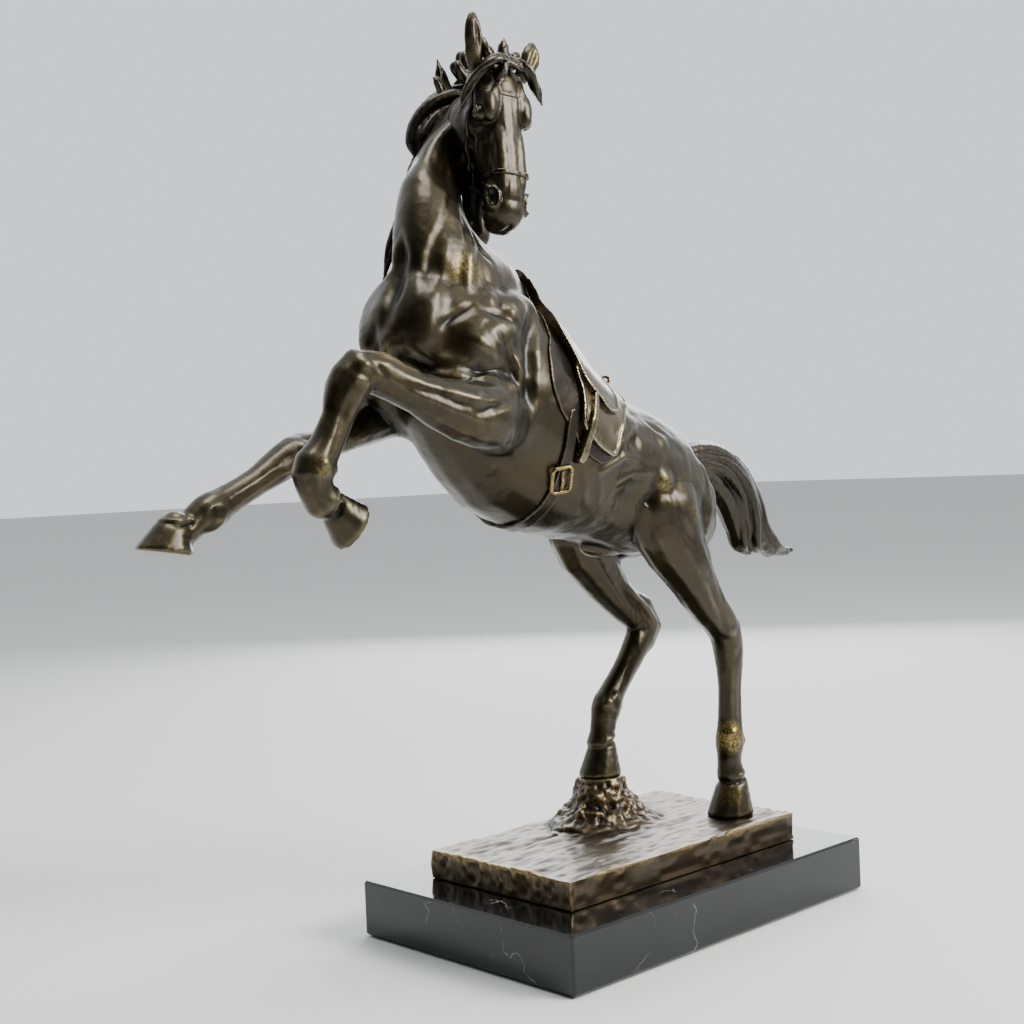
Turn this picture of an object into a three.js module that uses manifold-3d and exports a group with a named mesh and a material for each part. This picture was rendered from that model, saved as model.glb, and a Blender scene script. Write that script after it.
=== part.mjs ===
// A rearing horse cast in bronze sections, standing on a hollow bronze ground bolted to a marble base.
// Millimetres. +X is the way the horse faces, +Y its left side, +Z up; the origin is the centre of the
// felt's underside. The horse is drawn for a trunk of NOMINAL_TRUNK and scaled to TRUNK_LENGTH.
import * as THREE from "three";
import { mergeVertices } from "three/addons/utils/BufferGeometryUtils.js";
import Module from "manifold-3d";

const wasm = await Module();
wasm.setup();

// ---- Driving dimensions ----
const TRUNK_LENGTH = 333; // point of buttock to point of shoulder
const NOMINAL_TRUNK = 333;
const BASE_LENGTH = 305;
const BASE_WIDTH = 203;
const BASE_THICKNESS = 38;
const BASE_CHAMFER = 1.5;
const FELT_THICKNESS = 1;
const FELT_MARGIN = 6;
const GROUND_LENGTH = 238;
const GROUND_WIDTH = 136;
const GROUND_HEIGHT = 20;
const GROUND_CORNER = 7;
const GROUND_WALL = 4.5;
const CASTING_WALL = 4.5;
const BOLT_DIAMETER = 6;
const BOLT_ENGAGEMENT = 11;
const BOLT_INSET = 17; // bolt axis to the ground's edge
const MOUND_HEIGHT = 34; // the rock under the right hind hoof, above the ground
const WASHER = 1.6;
const STUD_DIAMETER = 6;
const STUD_DEPTH = 24; // how far a stud runs up into its hoof
const SEAM_GAP = 0.3; // between castings, closed by the weld on the real object
const FIT = 0.3; // radial clearance of bolts and studs

const SCALE = TRUNK_LENGTH / NOMINAL_TRUNK;
const GROUND_TOP = BASE_THICKNESS + GROUND_HEIGHT;

// ---- Finishes ----
const finish = (colour, roughness, metalness) =>
  new THREE.MeshStandardMaterial({ color: colour, roughness, metalness });
const BRONZE = finish(0x5a4a32, 0.38, 1);
const BRONZE_WORN = finish(0x8a7140, 0.32, 1);
const BRONZE_DARK = finish(0x2c2820, 0.45, 1);
const MARBLE = finish(0x141516, 0.08, 0);
const STEEL = finish(0xa8acae, 0.35, 1);
const FELT = finish(0x1c3324, 1, 0);

// ---- Solids ----
const v = (x, y, z) => new THREE.Vector3(x, y, z);
const LEFT = v(0, 1, 0);
const UP = v(0, 0, 1);

// A closed geometry as a manifold solid.
function solidOf(geometry) {
  const bare = new THREE.BufferGeometry();
  const flat = geometry.index ? geometry.toNonIndexed() : geometry;
  bare.setAttribute("position", flat.getAttribute("position").clone());
  const merged = mergeVertices(bare, 1e-4);
  const corners = merged.index.array;
  const faces = [];
  for (let i = 0; i < corners.length; i += 3) {
    const [a, b, c] = corners.slice(i, i + 3);
    if (a !== b && b !== c && c !== a) faces.push(a, b, c);
  }
  return new wasm.Manifold(
    new wasm.Mesh({
      numProp: 3,
      vertProperties: merged.getAttribute("position").array,
      triVerts: new Uint32Array(faces),
    }),
  );
}

// A manifold solid as a named mesh.
function meshOf(name, solid, material) {
  const made = solid.getMesh();
  const geometry = new THREE.BufferGeometry();
  geometry.setAttribute("position", new THREE.BufferAttribute(made.vertProperties, 3));
  geometry.setIndex(new THREE.BufferAttribute(made.triVerts, 1));
  geometry.computeVertexNormals();
  const mesh = new THREE.Mesh(geometry, material);
  mesh.name = name;
  return mesh;
}

const joined = (solids) => solids.reduce((sum, next) => sum.add(next));
const moved = (geometry, at) => geometry.translate(at.x, at.y, at.z);

// One cross-section of a loft: its centre, half width, half heights above and below, and turn about Z.
const ring = (x, y, z, side, up, down = up, turn = 0) => ({ at: v(x, y, z), side, up, down, turn });

// A closed body with round ends, swept through rings. side runs along lateral, up along tangent x lateral.
function loft(rings, { around = 12, along = 3 * rings.length, grow = 0, blunt = 0.7, frame } = {}) {
  const path = new THREE.CatmullRomCurve3(rings.map((r) => r.at));
  const size = new THREE.CatmullRomCurve3(rings.map((r) => v(r.side, r.up, r.down)));
  const turn = new THREE.CatmullRomCurve3(rings.map((r) => v(r.turn, 0, 0)));
  const geometry = new THREE.CapsuleGeometry(1, 1, 2, around, along);
  const p = geometry.getAttribute("position");
  for (let i = 0; i < p.count; i++) {
    const t = THREE.MathUtils.clamp(p.getY(i) + 0.5, 0, 1);
    const past = p.getY(i) + 0.5 - t;
    const tangent = path.getTangent(t);
    const lateral = LEFT.clone().applyAxisAngle(UP, THREE.MathUtils.degToRad(turn.getPoint(t).x));
    const across = lateral.addScaledVector(tangent, -lateral.dot(tangent)).normalize();
    const above = tangent.clone().cross(across);
    const s = size.getPoint(t).addScalar(grow);
    const place = path
      .getPoint(t)
      .addScaledVector(above, p.getX(i) * (p.getX(i) > 0 ? s.y : s.z))
      .addScaledVector(across, p.getZ(i) * s.x)
      .addScaledVector(tangent, past * (blunt * Math.min(s.x, s.y, s.z) + grow));
    p.setXYZ(i, place.x, place.y, place.z);
  }
  return solidOf(frame ? geometry.applyMatrix4(frame) : geometry);
}

// A muscle: an ellipsoid laid from one point to another, with its half width across and its half depth.
function muscle(from, to, side, deep, { grow = 0, frame } = {}) {
  const along = to.clone().sub(from);
  const length = along.length() / 2 + grow;
  const y = along.normalize();
  const z = LEFT.clone().addScaledVector(y, -LEFT.dot(y)).normalize();
  const x = y.clone().cross(z);
  const geometry = new THREE.SphereGeometry(1, 10, 6).scale(deep + grow, length, side + grow);
  geometry.applyMatrix4(new THREE.Matrix4().makeBasis(x, y, z));
  moved(geometry, from.clone().add(to).multiplyScalar(0.5));
  return solidOf(frame ? geometry.applyMatrix4(frame) : geometry);
}

// A vertical cylinder from one height to another.
function post(x, y, low, high, radius, around = 12) {
  const geometry = new THREE.CylinderGeometry(radius, radius, high - low, around).rotateX(Math.PI / 2);
  return solidOf(moved(geometry, v(x, y, (low + high) / 2)));
}

// The part of a solid on the far side of a plane, and on its near side.
const beyond = (solid, { at, normal }, gap = 0) =>
  solid.trimByPlane(normal.toArray(), at.dot(normal) / normal.length() + gap / 2);
const before = (solid, { at, normal }, gap = 0) =>
  solid.trimByPlane(normal.clone().negate().toArray(), -at.dot(normal) / normal.length() + gap / 2);

// ---- The horse's forms, in the horse's own frame: the ground's top is z = 0 ----
const TRUNK_RINGS = [
  ring(-66, 0, 234, 36, 36, 36),
  ring(-44, 0, 242, 47, 49, 48),
  ring(-14, 0, 251, 50, 53, 52),
  ring(18, 0, 262, 50, 51, 54),
  ring(52, 0, 276, 54, 49, 64),
  ring(86, 0, 296, 54, 56, 70),
  ring(120, 0, 320, 50, 66, 60),
  ring(152, 0, 344, 43, 62, 44),
  ring(179, 0, 356, 31, 42, 34),
];
const MIDRIFF = { at: v(34, 0, 264), normal: v(1, 0, 0.5) }; // the weld between the trunk's two castings

function trunk(grow = 0) {
  const parts = [loft(TRUNK_RINGS, { around: 20, along: 16, grow })];
  for (const s of [1, -1]) {
    parts.push(
      muscle(v(-78, s * 26, 202), v(0, s * 28, 266), 24, 40, { grow }), // haunch
      muscle(v(-70, s * 22, 192), v(-62, s * 22, 258), 16, 17, { grow }), // buttock
      muscle(v(90, s * 27, 366), v(172, s * 33, 322), 17, 28, { grow }), // shoulder blade
      muscle(v(182, s * 26, 334), v(134, s * 38, 290), 17, 22, { grow }), // upper arm
      muscle(v(170, s * 17, 386), v(183, s * 18, 322), 17, 19, { grow }), // breast
    );
  }
  return joined(parts);
}
const trunkHollow = () => loft(TRUNK_RINGS, { around: 12, along: 12, grow: -CASTING_WALL });

// Above the withers the neck and its mane sweep back and to the horse's right, behind the turned head.
const SWEEP = { from: 380, over: 130, reach: [-36, -37.5, -1.5] };
function swept([x, y, z]) {
  const share = THREE.MathUtils.smoothstep(z, SWEEP.from, SWEEP.from + SWEEP.over);
  const [dx, dy, dz] = SWEEP.reach;
  return [x + dx * share, y + dy * share, z + dz * share];
}
const NECK_RINGS = [
  ring(130, 0, 352, 36, 58, 46, 0),
  ring(141, 0, 384, 30, 59, 42, 8),
  ring(...swept([148, -3, 414]), 23, 45, 33, 22),
  ring(...swept([146, -5, 444]), 18, 27, 28, 42),
  ring(...swept([134, 0, 474]), 17, 23, 25, 55),
  ring(...swept([117, 9, 500]), 16, 20, 22, 66),
];
const neck = (grow = 0, around = 14, along = 12) => loft(NECK_RINGS, { around, along, grow });

// The head lies in its own frame: +X from the poll to the muzzle, +Z out of the forehead, +Y its left side.
const turned = (axis, degrees) =>
  new THREE.Matrix4()[`makeRotation${axis}`](THREE.MathUtils.degToRad(degrees));
const HEAD_FRAME = new THREE.Matrix4()
  .makeTranslation(96, 22, 531)
  .multiply(turned("Z", 85))
  .multiply(turned("X", -4.6))
  .multiply(turned("Y", 81.5));
const onHead = (x, y, z) => v(x, y, z).applyMatrix4(HEAD_FRAME).toArray();
const SKULL_RINGS = [
  ring(8, 0, -16, 18, 13, 18),
  ring(22, 0, -18, 21, 16, 26),
  ring(38, 0, -19, 22, 17, 33),
  ring(56, 0, -18, 18, 15, 28),
  ring(74, 0, -17, 14.5, 13, 17),
  ring(90, 0, -17, 15, 13, 14),
  ring(102, 0, -19, 12.5, 12, 12),
];
const JAW_RINGS = [
  ring(34, 0, -44, 12, 10, 12),
  ring(52, 0, -45, 11, 9, 10),
  ring(72, 0, -46, 9, 6, 7),
  ring(90, 0, -47, 8.5, 5.5, 6),
  ring(106, 0, -46, 8.5, 5.5, 6),
];
// Each ear from its root to its tip: the right one stands, the left one lies back.
const EARS = [
  [
    ring(8, -16, -14, 5, 5),
    ring(-3, -20, -11, 6.5, 5),
    ring(-13, -22, -9, 6.5, 4.5),
    ring(-28, -24, -6, 2, 2),
  ],
  [
    ring(8, 17, -14, 5, 5),
    ring(0, 23, -11, 6.5, 5),
    ring(-9, 27, -10, 7, 4.5),
    ring(-20, 30, -10, 3, 2.5),
  ],
];

function skull(grow = 0, around = 14, along = 14) {
  return loft(SKULL_RINGS, { around, along, grow, frame: HEAD_FRAME });
}

function head(grow = 0) {
  const frame = HEAD_FRAME;
  const parts = [skull(grow), loft(JAW_RINGS, { around: 8, along: 8, grow, frame })];
  for (const s of [1, -1]) {
    parts.push(
      muscle(v(26, s * 11, -38), v(54, s * 10, -40), 9, 17, { grow, frame }), // cheek
      muscle(v(26, s * 17, -10), v(44, s * 17, -10), 6.5, 8, { grow, frame }), // eye socket
    );
  }
  for (const ear of EARS) parts.push(loft(ear, { around: 8, along: 5, grow, frame }));
  return joined(parts);
}

// ---- Legs: rings from inside the trunk down to the coronet, then the hoof from its sole's centre ----
const LEGS = {
  left_foreleg: {
    rings: [
      ring(140, 44, 294, 18, 24),
      ring(156, 50, 294, 17, 22, 20),
      ring(186, 51, 301, 14, 17, 18),
      ring(218, 46, 313, 11, 11),
      ring(245, 41, 323, 12.5, 14, 13),
      ring(257, 40, 310, 11, 13, 12),
      ring(264, 40, 295, 8, 9),
      ring(274, 40, 278, 8.5, 9.5),
      ring(282, 40, 266, 11, 13, 12),
      ring(281, 40, 255, 9, 10),
      ring(275, 40, 247, 10, 11),
    ],
    hoof: { sole: v(256, 40, 234), toe: v(0.548, 0, -0.836), size: 0.98, tall: 0.85 },
  },
  right_foreleg: {
    rings: [
      ring(140, -40, 304, 18, 24, 18),
      ring(158, -43, 301, 16, 19, 15),
      ring(188, -41, 293, 14, 14, 13),
      ring(220, -35, 284, 11, 9, 11),
      ring(246, -28, 277, 12, 11, 11),
      ring(262, -26, 269, 10, 10, 10),
      ring(280, -24, 260, 8, 8),
      ring(300, -22, 251, 8.5, 8.5),
      ring(315, -20, 244, 10.5, 11),
      ring(325, -20, 239, 8.5, 8.5),
      ring(333, -20, 233, 9.5, 8),
    ],
    hoof: { sole: v(343, -20, 223), toe: v(0.985, 0, 0.179), size: 1.05, tall: 0.72 },
  },
  left_hind_leg: {
    rings: [
      ring(-22, 34, 236, 22, 38, 34),
      ring(-26, 38, 210, 19, 28, 30),
      ring(-42, 40, 184, 16, 19, 19),
      ring(-61, 38, 160, 13, 14, 13),
      ring(-84, 36, 138, 11, 12, 13),
      ring(-90, 35, 118, 9.5, 11, 12),
      ring(-91, 34, 92, 7.5, 8.5, 8.5),
      ring(-91, 33, 68, 8, 9),
      ring(-90, 33, 54, 10, 10.5),
      ring(-90, 32, 40, 8, 8.5),
      ring(-91, 32, 28, 9.5, 10.5),
    ],
    hoof: { sole: v(-90, 32, SEAM_GAP), toe: v(1, 0, 0), size: 1.15, tall: 1 },
  },
  right_hind_leg: {
    rings: [
      ring(-16, -34, 236, 22, 38, 34),
      ring(-16, -36, 208, 19, 30, 30),
      ring(-31, -37, 180, 15, 17, 20),
      ring(-52, -35, 158, 12, 13, 14),
      ring(-72, -33, 140, 10, 12, 19),
      ring(-61, -32, 122, 9, 10, 10),
      ring(-46, -31, 106, 7.5, 9),
      ring(-33, -31, 92, 8.5, 9.5),
      ring(-26, -30, 83, 10, 12, 11),
      ring(-20, -30, 67, 8, 8.5),
      ring(-18, -30, 56, 10, 11),
    ],
    hoof: { sole: v(-17, -30, MOUND_HEIGHT + SEAM_GAP), toe: v(1, 0, 0), size: 1.05, tall: 1 },
  },
};

// A hoof flares from the coronet to its flat sole; toe is the direction from heel to toe.
function hoof({ sole, toe, size, tall }) {
  const z = toe.clone().cross(LEFT);
  const frame = new THREE.Matrix4().makeBasis(toe, LEFT, z).setPosition(sole);
  const [k, h] = [size, size * tall];
  const rings = [
    ring(-4 * k, 0, 25 * h, 7 * k, 7 * k, 6 * k),
    ring(-3 * k, 0, 19 * h, 9.5 * k, 10 * k, 8.5 * k),
    ring(-1 * k, 0, 9 * h, 12 * k, 13 * k, 11.5 * k),
    ring(0, 0, 0, 14 * k, 17 * k, 14 * k),
    ring(1 * k, 0, -9 * h, 15.5 * k, 19 * k, 15.5 * k),
  ];
  const horn = loft(rings, { around: 12, along: 6 }).trimByPlane([0, 0, 1], 0);
  return horn.transform(frame.elements);
}
function leg(name) {
  return joined([loft(LEGS[name].rings, { around: 10, along: 22 }), hoof(LEGS[name].hoof)]);
}
const STANDING = ["left_hind_leg", "right_hind_leg"]; // the legs that carry the horse
const HEEL = LEGS.left_hind_leg.hoof.sole; // a larger or smaller horse keeps this hoof's place

const TAIL_RINGS = [
  ring(-66, 0, 256, 10, 9),
  ring(-96, 0, 265, 10, 9),
  ring(-126, -2, 262, 12, 11, 14),
  ring(-152, -3, 246, 12, 14, 18),
  ring(-166, -3, 222, 11, 13, 20),
  ring(-172, -3, 202, 9, 9, 16),
  ring(-194, -3, 188, 6, 6, 8),
  ring(-219, -3, 185, 3, 4),
];
const INNER_TAIL_RINGS = [
  ring(-112, -2, 254, 9, 8),
  ring(-138, -3, 234, 11, 11),
  ring(-150, -3, 212, 10, 10),
  ring(-158, -3, 194, 6, 7),
  ring(-168, -3, 188, 4, 4),
];
function tail() {
  return joined([
    loft(TAIL_RINGS, { around: 10, along: 16 }),
    loft(INNER_TAIL_RINGS, { around: 8, along: 10 }),
  ]);
}

// ---- Hair: locks swept from their root to a pointed tip ----
// Each lock: points from root to tip, its greatest half width and half thickness.
function lock(points, wide, thick, grow = 0) {
  const last = points.length - 1;
  const taper = (i) => 0.3 + 0.7 * Math.sin(Math.PI * (0.25 + 0.72 * (i / last)));
  const rings = points.map((at, i) => ring(...at, wide * taper(i), thick * taper(i)));
  return loft(rings, { around: 6, along: 2 * points.length + 2, grow });
}
const RIDGE = [
  [112, -8, 520], [128, -18, 496], [138, -20, 466],
  [150, -24, 438], [160, -28, 412], [168, -31, 386],
];
const CREST = [
  [124, -8, 502], [128, -20, 478], [126, -24, 446],
  [116, -20, 416], [98, -8, 388], [86, 0, 366],
];
const MANE = [
  [RIDGE, 6, 7],
  [CREST, 8, 8],
  [[[126, -20, 484], [134, -28, 466], [140, -34, 446], [138, -40, 424]], 9, 6],
  [[[126, -22, 456], [132, -34, 436], [132, -42, 414], [124, -46, 394]], 9, 6],
  [[[118, -16, 424], [118, -34, 408], [112, -44, 388], [102, -48, 370]], 9, 6],
];
const FLYING_LOCK = [[118, -4, 510], [128, -11, 502], [136, -16, 490], [141, -19, 478], [141, -18, 468]];
const SPIKE_LOCK = [[126, -2, 504], [128, -8, 512], [130, -10, 521], [132, -11, 533]];
const POLL_LOCK = [[112, 4, 520], [118, 2, 526], [120, 0, 534], [117, -1, 540]];
const OVER_BROW = [onHead(0, 0, -5), onHead(4, -10, -3), onHead(12, -19, -8), onHead(24, -25, -16),
  onHead(36, -27, -24)];
const PAST_LEFT_EAR = [onHead(2, 2, -5), onHead(5, 12, -3), onHead(13, 22, -5), onHead(25, 29, -8)];
const TUFT = [onHead(0, 0, -6), onHead(-8, 1, -8), onHead(-18, 2, -8)];
const HAIR = {
  mane: MANE.map(([points, wide, thick]) => [points.map(swept), wide, thick]),
  flying_lock: [[FLYING_LOCK.map(swept), 9, 8]],
  spike_lock: [[SPIKE_LOCK.map(swept), 6, 5]],
  poll_lock: [[POLL_LOCK.map(swept), 7, 7]],
  forelock: [[OVER_BROW, 6, 6], [PAST_LEFT_EAR, 6, 6], [TUFT, 5, 5]],
};
function locks(list, grow = 0) {
  return joined(list.map(([points, wide, thick]) => lock(points, wide, thick, grow)));
}


// ---- Saddlery: layers of leather over the trunk's skin, cut to outlines in the horse's X and Z ----
const PAD_OUTLINE = [
  [80, 420], [84, 372], [88, 352], [99, 336], [102, 316], [95, 296], [84, 284],
  [80, 276], [70, 268], [58, 262], [46, 266], [36, 288], [26, 318], [18, 360],
];
const SADDLE_OUTLINE = [
  [74, 420], [80, 352], [76, 307], [79, 292], [70, 278],
  [60, 271], [50, 269], [44, 277], [38, 291], [29, 318], [24, 380],
];
const GIRTH_OUTLINE = [
  [78, 400], [89, 298], [95, 252], [102, 215], [103, 200],
  [93, 200], [92, 215], [86, 250], [80, 300], [70, 400],
];
const BILLET_OUTLINE = [[60, 312], [65, 311], [75, 293], [81, 277], [85, 266], [81, 264], [76, 276], [70, 291]];
const PAD = { low: SEAM_GAP, high: 3 };
const SADDLE = { low: PAD.high + SEAM_GAP, high: 6 };
const BILLET = { low: SADDLE.high + SEAM_GAP, high: 8.2 };
const GIRTH = { low: SEAM_GAP, high: 3 };
const CANTLE_STUD = v(27, 30, 319); // on the saddle's back edge
const CANTLE_STUD_RADIUS = 3.5;
const HORSE_HALF_WIDTH = 90;

// A block whose outline is given in X and Z; it spans the horse's width, or part of it.
function blockOver(outline, from = -HORSE_HALF_WIDTH, to = HORSE_HALF_WIDTH) {
  const shape = new THREE.Shape(outline.map(([x, z]) => new THREE.Vector2(x, z)));
  const geometry = new THREE.ExtrudeGeometry(shape, { depth: to - from, bevelEnabled: false });
  return solidOf(geometry.rotateX(Math.PI / 2).translate(0, to, 0));
}
const layer = ({ low, high }, block) => trunk(high).intersect(block).subtract(trunk(low));
const lowered = (outline, by) => outline.map(([x, z]) => [x, z - by]);

// The girth's buckle: a flat rectangular frame with a tongue across it, on the horse's left side.
const BUCKLE = { halfWidth: 8, halfHeight: 10, bar: 2, thick: 2.5 };
const BUCKLE_FRAME = new THREE.Matrix4()
  .makeTranslation(91, 49.6, 252.6)
  .multiply(turned("Z", -14))
  .multiply(turned("X", -28))
  .multiply(turned("Y", 8));
function buckleFrame({ halfWidth: w, halfHeight: h, bar, thick }) {
  const corners = (x, z) => [v(-x, -z, 0), v(x, -z, 0), v(x, z, 0), v(-x, z, 0)];
  const outer = new THREE.Shape(corners(w, h));
  outer.holes.push(new THREE.Path(corners(w - bar, h - bar)));
  const geometry = new THREE.ExtrudeGeometry(outer, { depth: thick, bevelEnabled: false });
  return solidOf(geometry.rotateX(Math.PI / 2).translate(0, thick, 0).applyMatrix4(BUCKLE_FRAME));
}

// A box about a point; in the head's or the buckle's frame when one is given.
function boxAt(x, y, z, dx, dy, dz, frame = new THREE.Matrix4()) {
  return solidOf(new THREE.BoxGeometry(dx, dy, dz).translate(x, y, z).applyMatrix4(frame));
}

// A strap round the head: the layer just above its skin, inside a box in the head's frame.
const STRAP = { low: SEAM_GAP, high: 2.2 };
const strap = (box) => head(STRAP.high).intersect(box).subtract(head(STRAP.low));

// ---- The horse ----
const horse = new THREE.Group();
horse.position.set(HEEL.x * (1 - SCALE), 0, GROUND_TOP);
horse.scale.setScalar(SCALE);

// A solid less its neighbours; offcuts are dropped, so that one body is left.
function cutBy(solid, ...others) {
  const bodies = others.reduce((left, other) => left.subtract(other), solid).decompose();
  return bodies.reduce((most, body) => (body.volume() > most.volume() ? body : most));
}

const trunkNear = trunk(SEAM_GAP);
const neckNear = neck(SEAM_GAP);
const headNear = head(SEAM_GAP);
const bodyNear = [trunkNear, neckNear, headNear];

const trunkShell = cutBy(trunk(), trunkHollow());
horse.add(meshOf("forequarters", beyond(trunkShell, MIDRIFF, SEAM_GAP), BRONZE));
horse.add(meshOf("hindquarters", before(trunkShell, MIDRIFF, SEAM_GAP), BRONZE));
horse.add(meshOf("neck", cutBy(neck(), trunkNear, neck(-CASTING_WALL, 10, 8)), BRONZE));
horse.add(meshOf("head", cutBy(head(), neckNear, skull(-CASTING_WALL, 8, 8)), BRONZE));
horse.add(meshOf("tail", cutBy(tail(), trunkNear), BRONZE));

// The hind hooves are bored for the studs that hold the horse up.
function studBore({ x, y, z }) {
  return post(x, y, z - 5, z + STUD_DEPTH / SCALE, (STUD_DIAMETER / 2 + FIT) / SCALE);
}
for (const [name, { hoof: { sole } }] of Object.entries(LEGS)) {
  const solid = cutBy(leg(name), trunkNear);
  horse.add(meshOf(name, STANDING.includes(name) ? solid.subtract(studBore(sole)) : solid, BRONZE));
}

// Each lock of hair gives way to the body and to the locks before it.
const hairNear = [];
for (const [name, list] of Object.entries(HAIR)) {
  horse.add(meshOf(name, cutBy(locks(list), ...bodyNear, ...hairNear), BRONZE_DARK));
  hairNear.push(locks(list, SEAM_GAP));
}

const besidePad = trunk(PAD.high + SEAM_GAP).intersect(blockOver(lowered(PAD_OUTLINE, SEAM_GAP)));
const pad = layer(PAD, blockOver(PAD_OUTLINE));
const saddle = layer(SADDLE, blockOver(SADDLE_OUTLINE));
const girth = layer(GIRTH, blockOver(GIRTH_OUTLINE));
horse.add(meshOf("saddle_pad", cutBy(pad, neckNear, ...hairNear), BRONZE_DARK));
horse.add(meshOf("saddle", cutBy(saddle, neckNear, ...hairNear), BRONZE));
horse.add(meshOf("billet_strap", layer(BILLET, blockOver(BILLET_OUTLINE, 0)), BRONZE));
horse.add(meshOf("girth", cutBy(girth, besidePad), BRONZE_DARK));
const frameOnGirth = cutBy(buckleFrame(BUCKLE), trunk(GIRTH.high + SEAM_GAP));
horse.add(meshOf("girth_buckle", frameOnGirth, BRONZE));
horse.add(meshOf("buckle_tongue", boxAt(0, 1.2, 0, 1.8, 1.2, 15, BUCKLE_FRAME), BRONZE));
const stud = solidOf(moved(new THREE.SphereGeometry(CANTLE_STUD_RADIUS, 10, 8), CANTLE_STUD));
horse.add(meshOf("cantle_stud", cutBy(stud, trunk(SADDLE.high + SEAM_GAP)), BRONZE));

const noseband = strap(boxAt(78, 0, -18, 5, 60, 60, HEAD_FRAME));
horse.add(meshOf("noseband", cutBy(noseband, neckNear, ...hairNear), BRONZE_DARK));
const CHEEK_FRAME = HEAD_FRAME.clone()
  .multiply(new THREE.Matrix4().makeTranslation(48, 0, -28))
  .multiply(turned("Y", 23));
for (const [name, side] of [["left_cheek_strap", 1], ["right_cheek_strap", -1]]) {
  const cheek = strap(boxAt(0, side * 25, 0, 64, 50, 4, CHEEK_FRAME));
  horse.add(meshOf(name, cutBy(cheek, neckNear, ...hairNear), BRONZE_DARK));
}

// ---- Ground and base ----
// An upright block with rounded corners, and bevelled edges when a bevel is given.
function roundedSlab(length, width, corner, low, high, bevel = 0) {
  const [x, y] = [length / 2 - bevel - corner, width / 2 - bevel - corner];
  const shape = new THREE.Shape();
  [[x, -y], [x, y], [-x, y], [-x, -y]].forEach(([cx, cy], i) => {
    shape.absarc(cx, cy, corner, (i - 1) * (Math.PI / 2), i * (Math.PI / 2));
  });
  const geometry = new THREE.ExtrudeGeometry(shape, {
    depth: high - low - 2 * bevel,
    curveSegments: 4,
    bevelEnabled: bevel > 0,
    bevelSize: bevel,
    bevelThickness: bevel,
    bevelSegments: 1,
  });
  return solidOf(geometry.translate(0, 0, low + bevel));
}

const BOLTS = [[1, 1], [1, -1], [-1, 1], [-1, -1]].map(([i, j]) => ({
  x: i * (GROUND_LENGTH / 2 - BOLT_INSET),
  y: j * (GROUND_WIDTH / 2 - BOLT_INSET),
}));
const STUDS = STANDING.map((name) => ({
  name,
  sole: LEGS[name].hoof.sole.clone().multiplyScalar(SCALE).add(v(HEEL.x * (1 - SCALE), 0, 0)),
}));
const ROOF = GROUND_TOP - GROUND_WALL; // underside of the ground's skin
const BOSS_RADIUS = 9;
const BORE_DEPTH = 12; // counterbore for a bolt's head, from the marble's underside
const BORE_RADIUS = 9;
const BOLT_HOLE = BOLT_DIAMETER / 2 + FIT;
const STUD_HOLE = STUD_DIAMETER / 2 + FIT;

// A cone of rock under the right hind hoof, flat where the hoof stands.
const MOUND_RINGS = [
  ring(0, 0, -6, 44, 36, 50),
  ring(0, 0, 4, 34, 30, 38),
  ring(0, 0, 16, 23, 23, 24),
  ring(0, 0, 28, 19, 20, 20),
  ring(0, 0, 50, 17, 18, 18),
];
function mound({ x, y }) {
  return loft(MOUND_RINGS, { around: 14, along: 6, blunt: 0.1 })
    .translate([x, y, GROUND_TOP])
    .trimByPlane([0, 0, 1], GROUND_TOP - 1)
    .trimByPlane([0, 0, -1], -(GROUND_TOP + MOUND_HEIGHT * SCALE));
}

function ground() {
  const [length, width] = [GROUND_LENGTH - 2 * GROUND_WALL, GROUND_WIDTH - 2 * GROUND_WALL];
  let hollow = roundedSlab(length, width, GROUND_CORNER - 3, BASE_THICKNESS - 2, ROOF);
  for (const { x, y } of BOLTS) hollow = hollow.subtract(post(x, y, 0, GROUND_TOP, BOSS_RADIUS));
  let solid = roundedSlab(GROUND_LENGTH, GROUND_WIDTH, GROUND_CORNER, BASE_THICKNESS, GROUND_TOP, 1);
  solid = solid.subtract(hollow).add(mound(STUDS[1].sole));
  for (const { x, y } of BOLTS) {
    solid = solid.subtract(post(x, y, 0, BASE_THICKNESS + BOLT_ENGAGEMENT + 2, BOLT_HOLE));
  }
  for (const { sole } of STUDS) {
    solid = solid.subtract(post(sole.x, sole.y, ROOF - 2, GROUND_TOP + sole.z + 2, STUD_HOLE));
  }
  return solid;
}

function marbleBase() {
  let solid = roundedSlab(BASE_LENGTH, BASE_WIDTH, 0.5, 0, BASE_THICKNESS, BASE_CHAMFER);
  for (const { x, y } of BOLTS) {
    solid = solid.subtract(post(x, y, -1, BASE_THICKNESS + 1, BOLT_HOLE));
    solid = solid.subtract(post(x, y, -1, BORE_DEPTH, BORE_RADIUS));
  }
  return solid;
}

const HEX_RADIUS = 5.77; // corner radius of a 10 mm hexagon
const HEAD_HEIGHT = 4;
const NUT_HEIGHT = 5;
const hexagon = (x, y, low, high) => post(x, y, low, high, HEX_RADIUS, 6);
function washer(x, y, low, outer) {
  return post(x, y, low, low + WASHER, outer).subtract(post(x, y, low - 1, low + WASHER + 1, BOLT_HOLE));
}

const statue = new THREE.Group();
statue.position.z = FELT_THICKNESS;
statue.add(horse);
statue.add(meshOf("ground", ground(), BRONZE));
statue.add(meshOf("marble_base", marbleBase(), MARBLE));
const [feltLength, feltWidth] = [BASE_LENGTH - 2 * FELT_MARGIN, BASE_WIDTH - 2 * FELT_MARGIN];
statue.add(meshOf("felt_underlay", roundedSlab(feltLength, feltWidth, 4, -FELT_THICKNESS, 0), FELT));

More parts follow.
